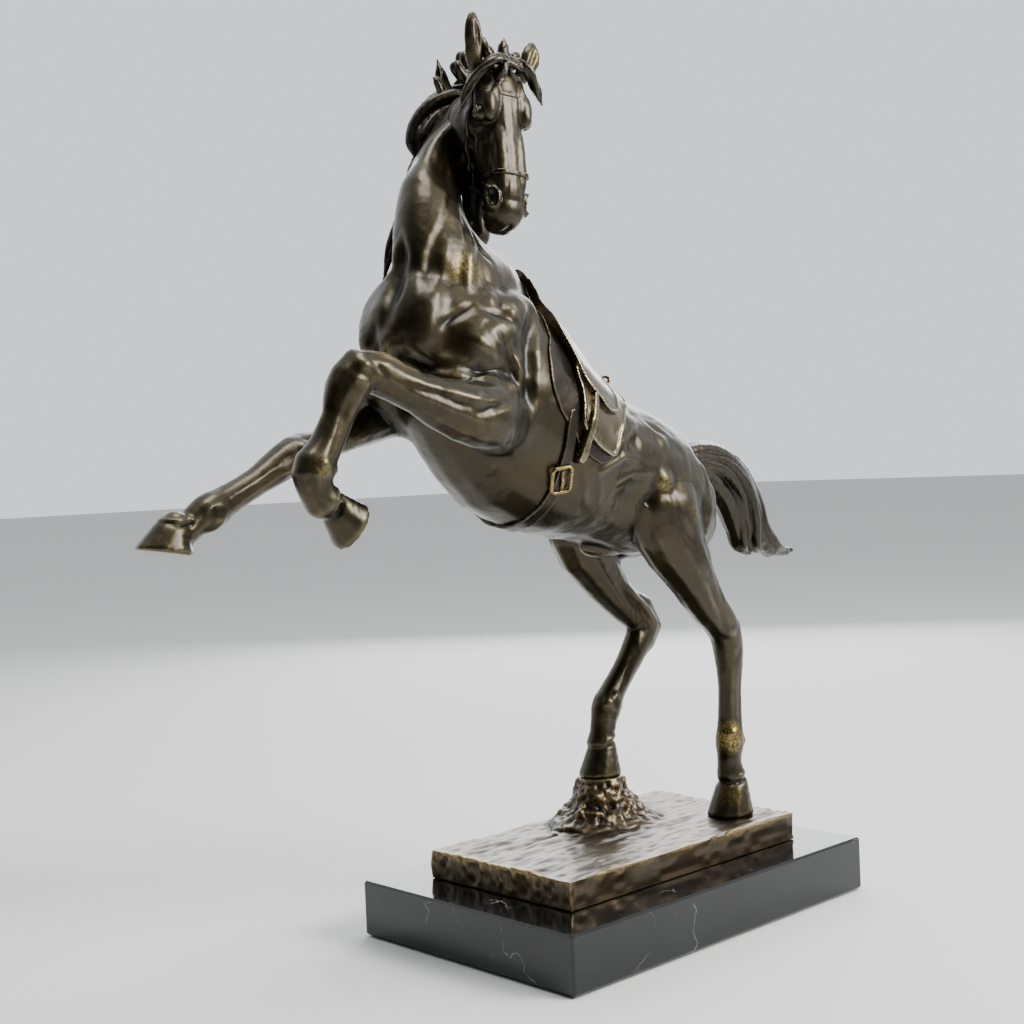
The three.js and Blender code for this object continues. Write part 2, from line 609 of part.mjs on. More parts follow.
BOLTS.forEach(({ x, y }, i) => {
  const seat = BORE_DEPTH - WASHER;
  const shank = post(x, y, seat - 1, BASE_THICKNESS + BOLT_ENGAGEMENT, BOLT_DIAMETER / 2);
  statue.add(meshOf(`base_washer_${i + 1}`, washer(x, y, seat, BORE_RADIUS - 1), STEEL));
  statue.add(meshOf(`base_bolt_${i + 1}`, hexagon(x, y, seat - HEAD_HEIGHT, seat).add(shank), STEEL));
});
STUDS.forEach(({ name, sole: { x, y, z } }) => {
  const side = name.split("_")[0];
  const seat = ROOF - WASHER;
  const rod = post(x, y, seat - NUT_HEIGHT - 2, GROUND_TOP + z + STUD_DEPTH - 1, STUD_DIAMETER / 2);
  const bore = post(x, y, seat - NUT_HEIGHT - 1, ROOF, STUD_DIAMETER / 2 + FIT / 2);
  statue.add(meshOf(`${side}_hoof_stud`, rod, STEEL));
  statue.add(meshOf(`${side}_stud_washer`, washer(x, y, seat, BORE_RADIUS - 2), STEEL));
  statue.add(meshOf(`${side}_stud_nut`, hexagon(x, y, seat - NUT_HEIGHT, seat).subtract(bore), STEEL));
});
export default statue;
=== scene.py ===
"""Finished surfaces, finishes, light and camera for a rearing bronze horse on a black marble base.

Lengths in the classes are millimetres in the horse's own frame, whose z is 0 on the bronze ground's top,
unless a name says otherwise. Meshes are written in metres, in the model's frame.
"""

import logging
import math
from dataclasses import dataclass
from enum import Enum

import bmesh
import bpy
import numpy as np
from mathutils import Matrix, Vector


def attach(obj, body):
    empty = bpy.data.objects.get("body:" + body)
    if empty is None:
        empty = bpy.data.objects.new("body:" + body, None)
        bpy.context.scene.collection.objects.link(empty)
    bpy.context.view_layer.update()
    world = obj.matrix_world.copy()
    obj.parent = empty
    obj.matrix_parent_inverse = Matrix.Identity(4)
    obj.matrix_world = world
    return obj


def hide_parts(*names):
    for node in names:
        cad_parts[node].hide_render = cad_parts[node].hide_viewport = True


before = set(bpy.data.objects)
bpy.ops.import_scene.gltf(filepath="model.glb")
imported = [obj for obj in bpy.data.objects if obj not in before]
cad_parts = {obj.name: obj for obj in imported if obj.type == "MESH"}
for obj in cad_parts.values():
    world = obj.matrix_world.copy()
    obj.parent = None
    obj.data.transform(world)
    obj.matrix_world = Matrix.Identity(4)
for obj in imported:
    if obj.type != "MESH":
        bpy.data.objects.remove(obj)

MM = 0.001
ROOT = "root"
FLOOR = 59.0  # height of the horse's z = 0 in the model's frame: felt, marble and bronze ground
Point = tuple[float, float, float]
log = logging.getLogger("horse")


# ---- Strokes ------------------------------------------------------------------------------------------


class Profile(Enum):
    """How a stroke's height falls off from its middle to its edge."""

    ROUND = "round"
    CREASE = "crease"

    def weight(self, share: np.ndarray) -> np.ndarray:
        """Returns the height, 1 in the middle and 0 at the edge.

        Args:
            share: distance from the middle as a share of the radius.
        """
        share = np.clip(share, 0.0, 1.0)
        if self is Profile.CREASE:
            return (1.0 - share) ** 2 * (1.0 + share)
        return (1.0 - share**2) ** 2


@dataclass(frozen=True)
class Stroke:
    """A sculptor's stroke, which raises or sinks the skin along a path of points.

    Args:
        path: points, in millimetres.
        radius: half the stroke's width.
        depth: height that it raises the skin by; a negative one sinks it.
        profile: how it falls off to its edge.
        both: whether the horse's other side has it too.
        taper: whether it fades out towards its ends.
    """

    path: tuple[Point, ...]
    radius: float
    depth: float
    profile: Profile = Profile.ROUND
    both: bool = False
    taper: bool = True

    def copies(self) -> list["Stroke"]:
        """Returns the stroke, and the other side's where it has one."""
        if not self.both:
            return [self]
        path = tuple((x, -y, z) for x, y, z in self.path)
        return [self, Stroke(path, self.radius, self.depth, self.profile, False, self.taper)]

    def height(self, at: np.ndarray) -> np.ndarray:
        """Returns how far the stroke raises each of the given points.

        Args:
            at: points in the stroke's frame, one to a row.
        """
        path = np.array(self.path, float)
        if len(path) == 1:
            return self.depth * self.profile.weight(np.linalg.norm(at - path[0], axis=1) / self.radius)
        best, along = np.full(len(at), 1e9), np.zeros(len(at))
        lengths = np.linalg.norm(np.diff(path, axis=0), axis=1)
        run = np.concatenate([[0], np.cumsum(lengths)])
        for i, (a, b) in enumerate(zip(path[:-1], path[1:])):
            ab = b - a
            t = np.clip(((at - a) @ ab) / (ab @ ab), 0, 1)
            d = np.linalg.norm(at - (a + t[:, None] * ab), axis=1)
            closer = d < best
            best[closer] = d[closer]
            along[closer] = (run[i] + t[closer] * lengths[i]) / run[-1]
        height = self.profile.weight(best / self.radius)
        if self.taper:
            height *= np.sin(np.pi * np.clip(0.08 + 0.84 * along, 0, 1)) ** 0.6
        return self.depth * height


def turn(axis: str, degrees: float) -> Matrix:
    """Returns a rotation about a named axis."""
    return Matrix.Rotation(math.radians(degrees), 4, axis)


# The head's own frame: +X from the poll to the muzzle, +Z out of the forehead, +Y its left side.
HEAD = Matrix.Translation((96, 22, 531)) @ turn("Z", 85) @ turn("X", -4.6) @ turn("Y", 81.5)
HORSE = Matrix.Identity(4)

# The neck and the mane are given upright, and are swept back behind the turned head.
SWEEP_FROM = 380.0  # height at which the sweep starts
SWEEP_OVER = 130.0  # height over which it grows to its full reach
SWEEP: Point = (-36, -37.5, 12)
BACK_FROM_SWEEP: Point = (36, 37.5, -12)
CASTING_RISE: Point = (0, 0, 13)  # the neck's casting is swept already, and only needs to rise


def from_head(points: np.ndarray) -> np.ndarray:
    """Returns points of the head's frame in the horse's."""
    place = np.array(HEAD)
    return points @ place[:3, :3].T + place[:3, 3]


def sweep(points: np.ndarray, reach: Point = SWEEP) -> np.ndarray:
    """Returns points of the neck or mane moved back behind the turned head, more the higher they are.

    Args:
        points: one point to a row.
        reach: how far the highest of them move.
    """
    share = np.clip((points[:, 2] - SWEEP_FROM) / SWEEP_OVER, 0, 1)
    return points + (share**2 * (3 - 2 * share))[:, None] * np.array([reach])


def rough(points: np.ndarray, size: float | Point, seed: int) -> np.ndarray:
    """Returns smooth seeded noise between -1 and 1 at each point.

    Args:
        points: one point to a row.
        size: length of one lump, or one length for each axis.
        seed: picks the pattern.
    """
    table = np.random.default_rng(seed).random((32, 32, 32)) * 2 - 1
    place = points / np.asarray(size, float)
    cell = np.floor(place).astype(int)
    share = place - cell
    share = share * share * (3 - 2 * share)
    total = np.zeros(len(points))
    for corner in np.ndindex(2, 2, 2):
        weight = np.prod(np.where(corner, share, 1 - share), axis=1)
        total += weight * table[tuple(((cell + corner) % 32).T)]
    return total


# ---- Meshes -------------------------------------------------------------------------------------------


class Skin:
    """A mesh held as arrays in the horse's frame, so that it is smoothed and sculpted as a whole."""

    def __init__(self, obj: bpy.types.Object) -> None:
        """Reads an object's mesh."""
        mesh = obj.data
        self.obj = obj
        self.co = np.empty(len(mesh.vertices) * 3, np.float32)
        mesh.vertices.foreach_get("co", self.co)
        self.co = self.co.reshape(-1, 3).astype(np.float64) / MM
        self.co[:, 2] -= FLOOR
        self.edges = np.empty(len(mesh.edges) * 2, np.int32)
        mesh.edges.foreach_get("vertices", self.edges)
        self.edges = self.edges.reshape(-1, 2)
        self.start = np.empty(len(mesh.polygons), np.int32)
        self.total = np.empty(len(mesh.polygons), np.int32)
        self.loops = np.empty(len(mesh.loops), np.int32)
        mesh.polygons.foreach_get("loop_start", self.start)
        mesh.polygons.foreach_get("loop_total", self.total)
        mesh.loops.foreach_get("vertex_index", self.loops)
        self.degree = np.bincount(self.edges.ravel(), minlength=len(self.co)).astype(np.float64)
        self.degree[self.degree == 0] = 1

    def spread(self, values: np.ndarray) -> np.ndarray:
        """Returns each vertex's mean of its neighbours' values."""
        a, b = self.edges.T
        count = len(self.co)
        flat = values.reshape(count, -1)
        out = np.empty_like(flat)
        for k in range(flat.shape[1]):
            out[:, k] = np.bincount(a, flat[b, k], count) + np.bincount(b, flat[a, k], count)
        return (out / self.degree[:, None]).reshape(values.shape)

    def smooth(self, rounds: int) -> None:
        """Smooths the skin without shrinking it: every second step pushes it back out."""
        for _ in range(rounds):
            self.co += 0.55 * (self.spread(self.co) - self.co)
            self.co -= 0.57 * (self.spread(self.co) - self.co)

    def normals(self) -> np.ndarray:
        """Returns unit normals at the vertices, softened a little."""
        a = self.co[self.loops[self.start]]
        b = self.co[self.loops[self.start + 1]]
        c = self.co[self.loops[self.start + 2]]
        d = self.co[self.loops[self.start + self.total - 1]]
        face = np.where((self.total == 3)[:, None], np.cross(b - a, c - a), np.cross(c - a, d - b))
        out = np.zeros_like(self.co)
        for corner in range(int(self.total.max())):
            has = self.total > corner
            index = self.loops[self.start[has] + corner]
            for k in range(3):
                out[:, k] += np.bincount(index, face[has, k], len(self.co))
        out = out + self.spread(out)
        return out / np.maximum(np.linalg.norm(out, axis=1, keepdims=True), 1e-12)

    def heights(self, strokes: list[Stroke], place: Matrix = HORSE) -> np.ndarray:
        """Returns how far strokes raise each vertex.

        Args:
            strokes: the strokes, in the frame given by place.
            place: the strokes' frame in the horse's.
        """
        back = np.array(place.inverted())
        local = self.co @ back[:3, :3].T + back[:3, 3]
        lift = np.zeros(len(self.co))
        for stroke in (copy for stroke in strokes for copy in stroke.copies()):
            path = np.array(stroke.path, float)
            low, high = path.min(0) - stroke.radius, path.max(0) + stroke.radius
            near = np.flatnonzero(((local > low) & (local < high)).all(1))
            if len(near):
                lift[near] += stroke.height(local[near])
        return lift

    def melt(self, at: Point, radius: float, rounds: int) -> None:
        """Softens the skin round a point until its edges are gone."""
        away = np.linalg.norm(self.co - np.array(at), axis=1)
        share = 0.6 * np.clip(1.6 * (1 - away / radius), 0, 1)[:, None]
        for _ in range(rounds):
            self.co += share * (self.spread(self.co) - self.co)

    def raise_by(self, lift: np.ndarray | float) -> None:
        """Moves each vertex along its normal."""
        self.co += self.normals() * np.broadcast_to(np.asarray(lift, float), len(self.co))[:, None]

    def relief(self, rounds: int, full: float) -> np.ndarray:
        """Returns 0 in hollows, 1 on ridges and 0.5 on the flat.

        Args:
            rounds: rounds of smoothing that make the surface to compare with.
            full: height above or below it, in millimetres, that counts as full.
        """
        soft = self.co.copy()
        for _ in range(rounds):
            soft = soft + 0.6 * (self.spread(soft) - soft)
        height = ((self.co - soft) * self.normals()).sum(1)
        return np.clip(0.5 + 0.5 * height / full, 0, 1)

    def store(self, **values: np.ndarray) -> None:
        """Stores a value at each vertex as named attributes for the finishes."""
        for name, value in values.items():
            attribute = self.obj.data.attributes.new(name, "FLOAT", "POINT")
            attribute.data.foreach_set("value", value.astype(np.float32))

    def write(self) -> None:
        """Writes the vertices back to the object's mesh."""
        out = self.co.copy()
        out[:, 2] += FLOOR
        self.obj.data.vertices.foreach_set("co", (out * MM).astype(np.float32).ravel())
        self.obj.data.update()


def select_only(*objects: bpy.types.Object) -> None:
    """Makes the given objects the only selected ones and the first one active."""
    bpy.ops.object.select_all(action="DESELECT")
    for obj in objects:
        obj.select_set(True)
    bpy.context.view_layer.objects.active = objects[0]


def apply_modifier(obj: bpy.types.Object, kind: str, **settings: object) -> bpy.types.Object:
    """Adds a modifier with its settings, applies it and returns the object."""
    select_only(obj)
    modifier = obj.modifiers.new(kind.lower(), kind)
    for name, value in settings.items():
        setattr(modifier, name, value)
    bpy.ops.object.modifier_apply(modifier=modifier.name)
    return obj


def remesh(obj: bpy.types.Object, voxel: float) -> bpy.types.Object:
    """Remakes an object's skin in even cells of the given size, in millimetres."""
    return apply_modifier(obj, "REMESH", mode="VOXEL", voxel_size=voxel * MM)


def boolean(obj: bpy.types.Object, tool: bpy.types.Object, operation: str,
            keep: bool = False) -> bpy.types.Object:
    """Cuts an object by another solid, or keeps what is inside it.

    Args:
        obj: the object to change.
        tool: the other solid, which is used up unless it is kept.
        operation: "DIFFERENCE" or "INTERSECT".
        keep: whether the other solid stays.

    Returns:
        The changed object.
    """
    apply_modifier(obj, "BOOLEAN", operation=operation, object=tool, solver="MANIFOLD")
    if not keep:
        remove(tool)
    return obj


def duplicate(obj: bpy.types.Object, name: str) -> bpy.types.Object:
    """Returns a copy of an object with its own mesh."""
    copy = bpy.data.objects.new(name, obj.data.copy())
    bpy.context.scene.collection.objects.link(copy)
    return copy


def remove(*objects: bpy.types.Object) -> None:
    """Removes helper objects."""
    for obj in objects:
        bpy.data.objects.remove(obj)


def join(objects: list[bpy.types.Object], name: str) -> bpy.types.Object:
    """Joins objects into the first one and names it."""
    select_only(*objects)
    if len(objects) > 1:
        bpy.ops.object.join()
    objects[0].name = name
    return objects[0]


def mesh_from(name: str, points: np.ndarray, faces: list[tuple[int, ...]]) -> bpy.types.Object:
    """Returns a new object from points in the horse's frame and faces."""
    points = np.asarray(points, float).copy()
    points[:, 2] += FLOOR
    mesh = bpy.data.meshes.new(name)
    mesh.from_pydata((points * MM).tolist(), [], faces)
    mesh.update()
    obj = bpy.data.objects.new(name, mesh)
    bpy.context.scene.collection.objects.link(obj)
    return obj


def merged_copy(name: str, nodes: list[str], outward: float) -> bpy.types.Object:
    """Returns one object made of copies of castings, with doubles merged.

    Args:
        name: the new object's name.
        nodes: the castings to copy.
        outward: how far their skin moves out, which closes the gaps of the welds.
    """
    whole = bmesh.new()
    for node in nodes:
        part = bmesh.new()
        part.from_mesh(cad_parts[node].data)
        bmesh.ops.remove_doubles(part, verts=part.verts, dist=1e-6)
        part.normal_update()
        for vertex in part.verts:
            vertex.co += vertex.normal * outward * MM
        mesh = bpy.data.meshes.new("copy")
        part.to_mesh(mesh)
        part.free()
        whole.from_mesh(mesh)
        bpy.data.meshes.remove(mesh)
    mesh = bpy.data.meshes.new(name)
    whole.to_mesh(mesh)
    whole.free()
    obj = bpy.data.objects.new(name, mesh)
    bpy.context.scene.collection.objects.link(obj)
    return obj


def outer_shell(obj: bpy.types.Object) -> bpy.types.Object:
    """Keeps an object's largest loose part, which drops the inner walls of hollow castings."""
    name = obj.name
    select_only(obj)
    bpy.ops.object.mode_set(mode="EDIT")
    bpy.ops.mesh.select_all(action="SELECT")
    bpy.ops.mesh.separate(type="LOOSE")
    bpy.ops.object.mode_set(mode="OBJECT")
    parts = list(bpy.context.selected_objects)
    keep = max(parts, key=lambda part: part.dimensions.length)
    remove(*(part for part in parts if part != keep))
    keep.name = name
    return keep


def blob(center: Point, radii: Point, place: Matrix = HORSE) -> bpy.types.Object:
    """Returns a ball of clay squeezed to three radii.

    Args:
        center: its middle, in the frame given by place.
        radii: half its size along its own axes.
        place: the frame in the horse's.
    """
    bpy.ops.object.select_all(action="DESELECT")
    bpy.ops.mesh.primitive_ico_sphere_add(subdivisions=4, radius=1)
    obj = bpy.context.active_object
    shape = place @ Matrix.Translation(center) @ Matrix.Diagonal((*radii, 1))
    obj.data.transform(Matrix.Scale(MM, 4) @ Matrix.Translation((0, 0, FLOOR)) @ shape)
    return obj


def spline(points: list[Point], count: int) -> np.ndarray:
    """Returns evenly counted points of a smooth curve through the given ones."""
    p = np.array(points, float)
    p = np.vstack([2 * p[0] - p[1], p, 2 * p[-1] - p[-2]])
    out = []
    for s in np.linspace(0, len(points) - 1, count):
        i = min(int(s), len(points) - 2)
        t = s - i
        a, b, c, d = p[i : i + 4]
        out.append(0.5 * (2 * b + (c - a) * t + (2 * a - 5 * b + 4 * c - d) * t**2
                          + (3 * b - a - 3 * c + d) * t**3))
    return np.array(out)


def sides(path: np.ndarray, first: Point) -> tuple[np.ndarray, np.ndarray]:
    """Returns two unit vectors across a path at each of its points, carried along without twist.

    Args:
        path: one point to a row.
        first: rough direction of the first vector at the start.
    """
    tangent = np.gradient(path, axis=0)
    tangent /= np.linalg.norm(tangent, axis=1, keepdims=True)
    one = np.empty_like(path)
    side = np.array(first, float)
    for i, t in enumerate(tangent):
        side = side - t * (side @ t)
        side /= np.linalg.norm(side)
        one[i] = side
    return one, np.cross(tangent, one)


def tube(name: str, path: np.ndarray, radii: np.ndarray, around: int = 10, closed: bool = False,
         flat: float = 1.0, across: Point = (0, 1, 0)) -> bpy.types.Object:
    """Returns a round bar along a path, with a pole at each end unless it is a ring.

    Args:
        name: the object's name.
        path: one point to a row, in the horse's frame.
        radii: radius at each point.
        around: corners of the section.
        closed: whether the path is a ring.
        flat: second radius as a share of the first.
        across: rough direction of the first radius at the start.
    """
    count = len(path)
    if closed:
        tangent = np.roll(path, -1, 0) - np.roll(path, 1, 0)
        tangent /= np.linalg.norm(tangent, axis=1, keepdims=True)
        axis = np.array(across, float)
        one = axis - tangent * (tangent @ axis)[:, None]
        one /= np.linalg.norm(one, axis=1, keepdims=True)
        two = np.cross(tangent, one)
    else:
        one, two = sides(path, across)
    angles = np.arange(around) * 2 * math.pi / around
    rim = one[:, None] * np.cos(angles)[None, :, None] + flat * two[:, None] * np.sin(angles)[None, :, None]
    points = (path[:, None] + rim * np.asarray(radii)[:, None, None]).reshape(-1, 3)
    faces = []
    for i in range(count if closed else count - 1):
        j = (i + 1) % count
        for k in range(around):
            m = (k + 1) % around
            faces.append((i * around + k, i * around + m, j * around + m, j * around + k))
    if not closed:
        step = path[1] - path[0], path[-1] - path[-2]
        first = path[0] - step[0] / np.linalg.norm(step[0]) * radii[0] * 0.6
        last = path[-1] + step[1] / np.linalg.norm(step[1]) * radii[-1] * 0.6
        points = np.vstack([points, first, last])
        a, b, end = count * around, count * around + 1, (count - 1) * around
        for k in range(around):
            m = (k + 1) % around
            faces.append((a, m, k))
            faces.append((b, end + k, end + m))
    return mesh_from(name, points, faces)


def prism(outline: list[tuple[float, float]], low: float, high: float) -> bpy.types.Object:
    """Returns a block whose outline is given in the horse's X and Z; it spans the given range of Y."""
    count = len(outline)
    points = [(x, y, z) for y in (low, high) for x, z in outline]
    faces = [tuple(range(count)), tuple(range(2 * count - 1, count - 1, -1))]
    faces += [(i, i + count, (i + 1) % count + count, (i + 1) % count) for i in range(count)]
    obj = mesh_from("block", np.array(points), faces)
    fix_normals(obj)
    return obj


def fix_normals(obj: bpy.types.Object) -> None:
    """Merges doubles and turns an object's faces outwards."""
    select_only(obj)
    bpy.ops.object.mode_set(mode="EDIT")
    bpy.ops.mesh.select_all(action="SELECT")
    bpy.ops.mesh.remove_doubles(threshold=1e-7)
    bpy.ops.mesh.normals_make_consistent(inside=False)
    bpy.ops.object.mode_set(mode="OBJECT")


def box(center: Point, size: Point, place: Matrix = HORSE) -> bpy.types.Object:
    """Returns a block about a point, in the frame given by place."""
    bpy.ops.object.select_all(action="DESELECT")
    bpy.ops.mesh.primitive_cube_add(size=1)
    obj = bpy.context.active_object
    shape = place @ Matrix.Translation(center) @ Matrix.Diagonal((*size, 1))
    obj.data.transform(Matrix.Scale(MM, 4) @ Matrix.Translation((0, 0, FLOOR)) @ shape)
    return obj


def hand_over(obj: bpy.types.Object, nodes: list[str], material: bpy.types.Material,
              angle: float = 50) -> None:
    """Dresses a finished piece and puts it in its CAD nodes' place.

    Args:
        obj: the piece.
        nodes: CAD nodes that it stands for.
        material: the finish.
        angle: edges sharper than this, in degrees, stay sharp.
    """
    select_only(obj)
    bpy.ops.object.shade_smooth_by_angle(angle=math.radians(angle))
    obj.data.materials.clear()
    obj.data.materials.append(material)
    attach(obj, ROOT)
    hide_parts(*nodes)
    log.info("%s: %d faces", obj.name, len(obj.data.polygons))


# ---- Finishes -----------------------------------------------------------------------------------------


def linear(code: str) -> tuple[float, float, float, float]:
    """Returns a linear colour from an sRGB hex code such as 'a08050'."""
    parts = [int(code[i : i + 2], 16) / 255 for i in (0, 2, 4)]
    return (*(c / 12.92 if c <= 0.04045 else ((c + 0.055) / 1.055) ** 2.4 for c in parts), 1.0)


class Paint:
    """A material's node tree, with short ways to add to it."""

    def __init__(self, name: str) -> None:
        """Makes the named material with a bare shader."""
        self.material = bpy.data.materials.new(name)
        self.material.use_nodes = True
        self.tree = self.material.node_tree
        self.shader = self.tree.nodes["Principled BSDF"]

    def add(self, kind: str, links: dict[str | int, object] | None = None,
            **settings: object) -> bpy.types.Node:
        """Adds a node.

        Args:
            kind: the node's type.
            links: what feeds each input: another node's output, or a plain value.
            settings: the node's own settings.
        """
        node = self.tree.nodes.new(kind)
        for name, value in settings.items():
            setattr(node, name, value)
        for key, source in (links or {}).items():
            self.feed(node, key, source)
        return node

    def feed(self, node: bpy.types.Node, key: str | int, source: object) -> None:
        """Links an output to an input, or sets its value."""
        if isinstance(source, bpy.types.NodeSocket):
            self.tree.links.new(source, node.inputs[key])
        else:
            node.inputs[key].default_value = source

    def place(self, size: float | Point) -> bpy.types.NodeSocket:
        """Returns object coordinates counted in lumps of the given size in millimetres."""
        scale = np.broadcast_to(1 / (np.asarray(size, float) * MM), 3).tolist()
        where = self.add("ShaderNodeTexCoord").outputs["Object"]
        return self.add("ShaderNodeVectorMath", {0: where, 1: scale}, operation="MULTIPLY").outputs[0]

    def noise(self, size: float | Point, detail: float = 3.0,
              roughness: float = 0.55) -> bpy.types.NodeSocket:
        """Returns noise from 0 to 1 with lumps of the given size in millimetres."""
        return self.add(
            "ShaderNodeTexNoise",
            {"Vector": self.place(size), "Scale": 1.0, "Detail": detail, "Roughness": roughness},
        ).outputs["Fac"]

    def attribute(self, name: str) -> bpy.types.NodeSocket:
        """Returns a vertex attribute's value."""
        return self.add("ShaderNodeAttribute", attribute_name=name).outputs["Fac"]

    def math(self, operation: str, a: object, b: object = 0.5, c: object = 0.0) -> bpy.types.NodeSocket:
        """Returns the result of one sum."""
        return self.add("ShaderNodeMath", {0: a, 1: b, 2: c}, operation=operation).outputs[0]

    def range(self, value: object, low: float, high: float,
              to: tuple[float, float] = (0, 1)) -> bpy.types.NodeSocket:
        """Returns a value stretched from one range to another, and kept inside it."""
        links = {"Value": value, "From Min": low, "From Max": high, "To Min": to[0], "To Max": to[1]}
        return self.add("ShaderNodeMapRange", links).outputs["Result"]

    def blend(self, share: object, one: object, other: object) -> bpy.types.NodeSocket:
        """Returns a mix of two colours."""
        node = self.add("ShaderNodeMix", data_type="RGBA")
        for index, source in ((0, share), (6, one), (7, other)):
            self.feed(node, index, source)
        return node.outputs[2]

    def bump(self, height: object, depth: float,
             below: bpy.types.NodeSocket | None = None) -> bpy.types.NodeSocket:
        """Returns normals for a height from 0 to 1, with its full depth in millimetres."""
        node = self.add("ShaderNodeBump", {"Height": height, "Distance": depth * MM, "Strength": 1.0})
        if below:
            self.feed(node, "Normal", below)
        return node.outputs[0]

    def set(self, **values: object) -> bpy.types.Material:
        """Sets the shader's inputs, with underscores for spaces, and returns the material."""
        for name, value in values.items():
            self.feed(self.shader, name.replace("_", " "), value)
        return self.material


@dataclass(frozen=True)
class Bronze:
    """Cast bronze under a chemical patina and wax: dark in hollows, rubbed to metal on ridges, and golden in
    spots of rubbed metal and painted highlights.

    Args:
        name: the material's name.
        deep: colour in hollows.
        skin: colour of flat skin.
        warm: browner colour that skin shifts to in patches.
        ridge: colour of worn ridges.
        bare_and_highlight: colour of rubbed metal, and of painted highlights.
        wear: how far the wear reaches, from 0 to 1.
        shine: roughness of flat skin.
    """

    name: str
    deep: str = "0c0b08"
    skin: str = "322d20"
    warm: str = "382f1c"
    ridge: str = "5f573f"
    bare_and_highlight: str = "b39a52"
    wear: float = 0.5
    shine: float = 0.40

    def build(self) -> bpy.types.Material:
        """Makes the material. It reads the attributes fine, broad and rubbed of the mesh; the last marks
        rubbed metal and painted highlights.
        """
        p = Paint(self.name)
        fine, broad, rubbed = (p.attribute(name) for name in ("fine", "broad", "rubbed"))
        clouds = p.noise(38, 4, 0.6)
        patches = p.noise(14, 5, 0.65)
        specks = p.noise(1.6, 4, 0.7)
        height = p.math("MULTIPLY_ADD", fine, 0.55, p.math("MULTIPLY", broad, 0.45))
        worn = p.math("MULTIPLY_ADD", p.math("SUBTRACT", patches, 0.5), 0.35, height)
        worn = p.math("MULTIPLY_ADD", p.math("SUBTRACT", specks, 0.5), 0.18, worn)
        colour = p.blend(p.range(clouds, 0.42, 0.62), linear(self.skin), linear(self.warm))
        colour = p.blend(p.range(worn, 0.46, 0.12, (0, 0.85)), colour, linear(self.deep))
        edge = p.range(worn, 0.84 - 0.3 * self.wear, 1.25 - 0.3 * self.wear, (0, 0.8))
        colour = p.blend(edge, colour, linear(self.ridge))
        # golden where the mesh marks rubbed metal and painted highlights
        bare_and_highlight = p.math("MULTIPLY", rubbed, p.range(specks, 0.42, 0.58))
        colour = p.blend(bare_and_highlight, colour, linear(self.bare_and_highlight))
        shine = p.math("MULTIPLY_ADD", patches, 0.22, self.shine - 0.11)
        shine = p.math("MULTIPLY_ADD", p.range(worn, 0.45, 0.2), 0.25, shine)
        pits = p.add("ShaderNodeTexVoronoi", {"Vector": p.place(2.4), "Scale": 1.0, "Randomness": 1.0})
        pit = p.range(pits.outputs["Distance"], 0.0, 0.22)
        normal = p.bump(p.noise((3.2, 3.2, 5.0), 3), 0.22)
        normal = p.bump(pit, 0.06, normal)
        normal = p.bump(p.noise(0.9, 3), 0.04, normal)
        return p.set(Base_Color=colour, Metallic=1.0, Roughness=shine, Normal=normal,
                     Coat_Weight=0.4, Coat_Roughness=0.25)


@dataclass(frozen=True)
class Stone:
    """Polished black marble with thin white veins and grey clouds."""

    name: str = "polished_black_marble"

    def build(self) -> bpy.types.Material:
        """Makes the material."""
        p = Paint(self.name)
        clouds = p.add("ShaderNodeTexNoise", {"Vector": p.place(60), "Scale": 1.0, "Detail": 4.0})
        drift = clouds.outputs["Color"]
        bent = p.add("ShaderNodeVectorMath", {0: p.place(95), 1: drift}, operation="ADD").outputs[0]
        cells = p.add("ShaderNodeTexVoronoi", {"Vector": bent, "Scale": 1.0}, feature="DISTANCE_TO_EDGE")
        vein = p.range(cells.outputs["Distance"], 0.007, 0.0)
        vein = p.math("MULTIPLY", vein, p.range(p.noise(26, 3), 0.52, 0.70))
        hair = p.add("ShaderNodeVectorMath", {0: p.place(33), 1: drift}, operation="ADD").outputs[0]
        threads = p.add("ShaderNodeTexVoronoi", {"Vector": hair, "Scale": 1.0}, feature="DISTANCE_TO_EDGE")
        thread = p.range(threads.outputs["Distance"], 0.01, 0.0)
        thread = p.math("MULTIPLY", thread, p.range(p.noise(18, 3), 0.55, 0.72))
        flecks = p.range(p.noise(1.3, 2), 0.74, 0.80)
        cloud = p.range(p.noise(45, 5, 0.65), 0.45, 0.75, (0, 0.5))
        colour = p.blend(cloud, linear("08090a"), linear("1d2022"))
        colour = p.blend(p.math("MULTIPLY", flecks, 0.35), colour, linear("6a6e70"))
        colour = p.blend(p.math("MULTIPLY", thread, 0.3), colour, linear("8e9294"))
        colour = p.blend(p.math("MULTIPLY", vein, 0.6), colour, linear("b9bbba"))
        rough = p.range(p.noise(9, 4), 0.3, 0.7, (0.06, 0.13))
        normal = p.bump(p.noise(30, 2), 0.05)
        return p.set(Base_Color=colour, Roughness=rough, Normal=normal)


@dataclass(frozen=True)
class Cloth:
    """Short dark green felt: matted fibres with a little fuzz."""

    name: str = "dark_green_felt"

    def build(self) -> bpy.types.Material:
        """Makes the material."""
        p = Paint(self.name)
        matted = p.noise((0.5, 0.5, 0.3), 4, 0.7)
        colour = p.blend(p.range(matted, 0.35, 0.65), linear("16271c"), linear("2b4433"))
        normal = p.bump(matted, 0.15)
        return p.set(Base_Color=colour, Roughness=0.95, Normal=normal, Sheen_Weight=0.3)


@dataclass(frozen=True)
class Steel:
    """Zinc-plated steel with faint turning marks."""

    name: str = "zinc_plated_steel"

    def build(self) -> bpy.types.Material:
        """Makes the material."""
        p = Paint(self.name)
        cloud = p.noise(3, 3)
        colour = p.blend(p.range(cloud, 0.4, 0.6), linear("a9adb0"), linear("b8b6a8"))
        rough = p.range(p.noise((2, 2, 0.15), 3), 0.3, 0.7, (0.28, 0.42))
        return p.set(Base_Color=colour, Metallic=1.0, Roughness=rough)


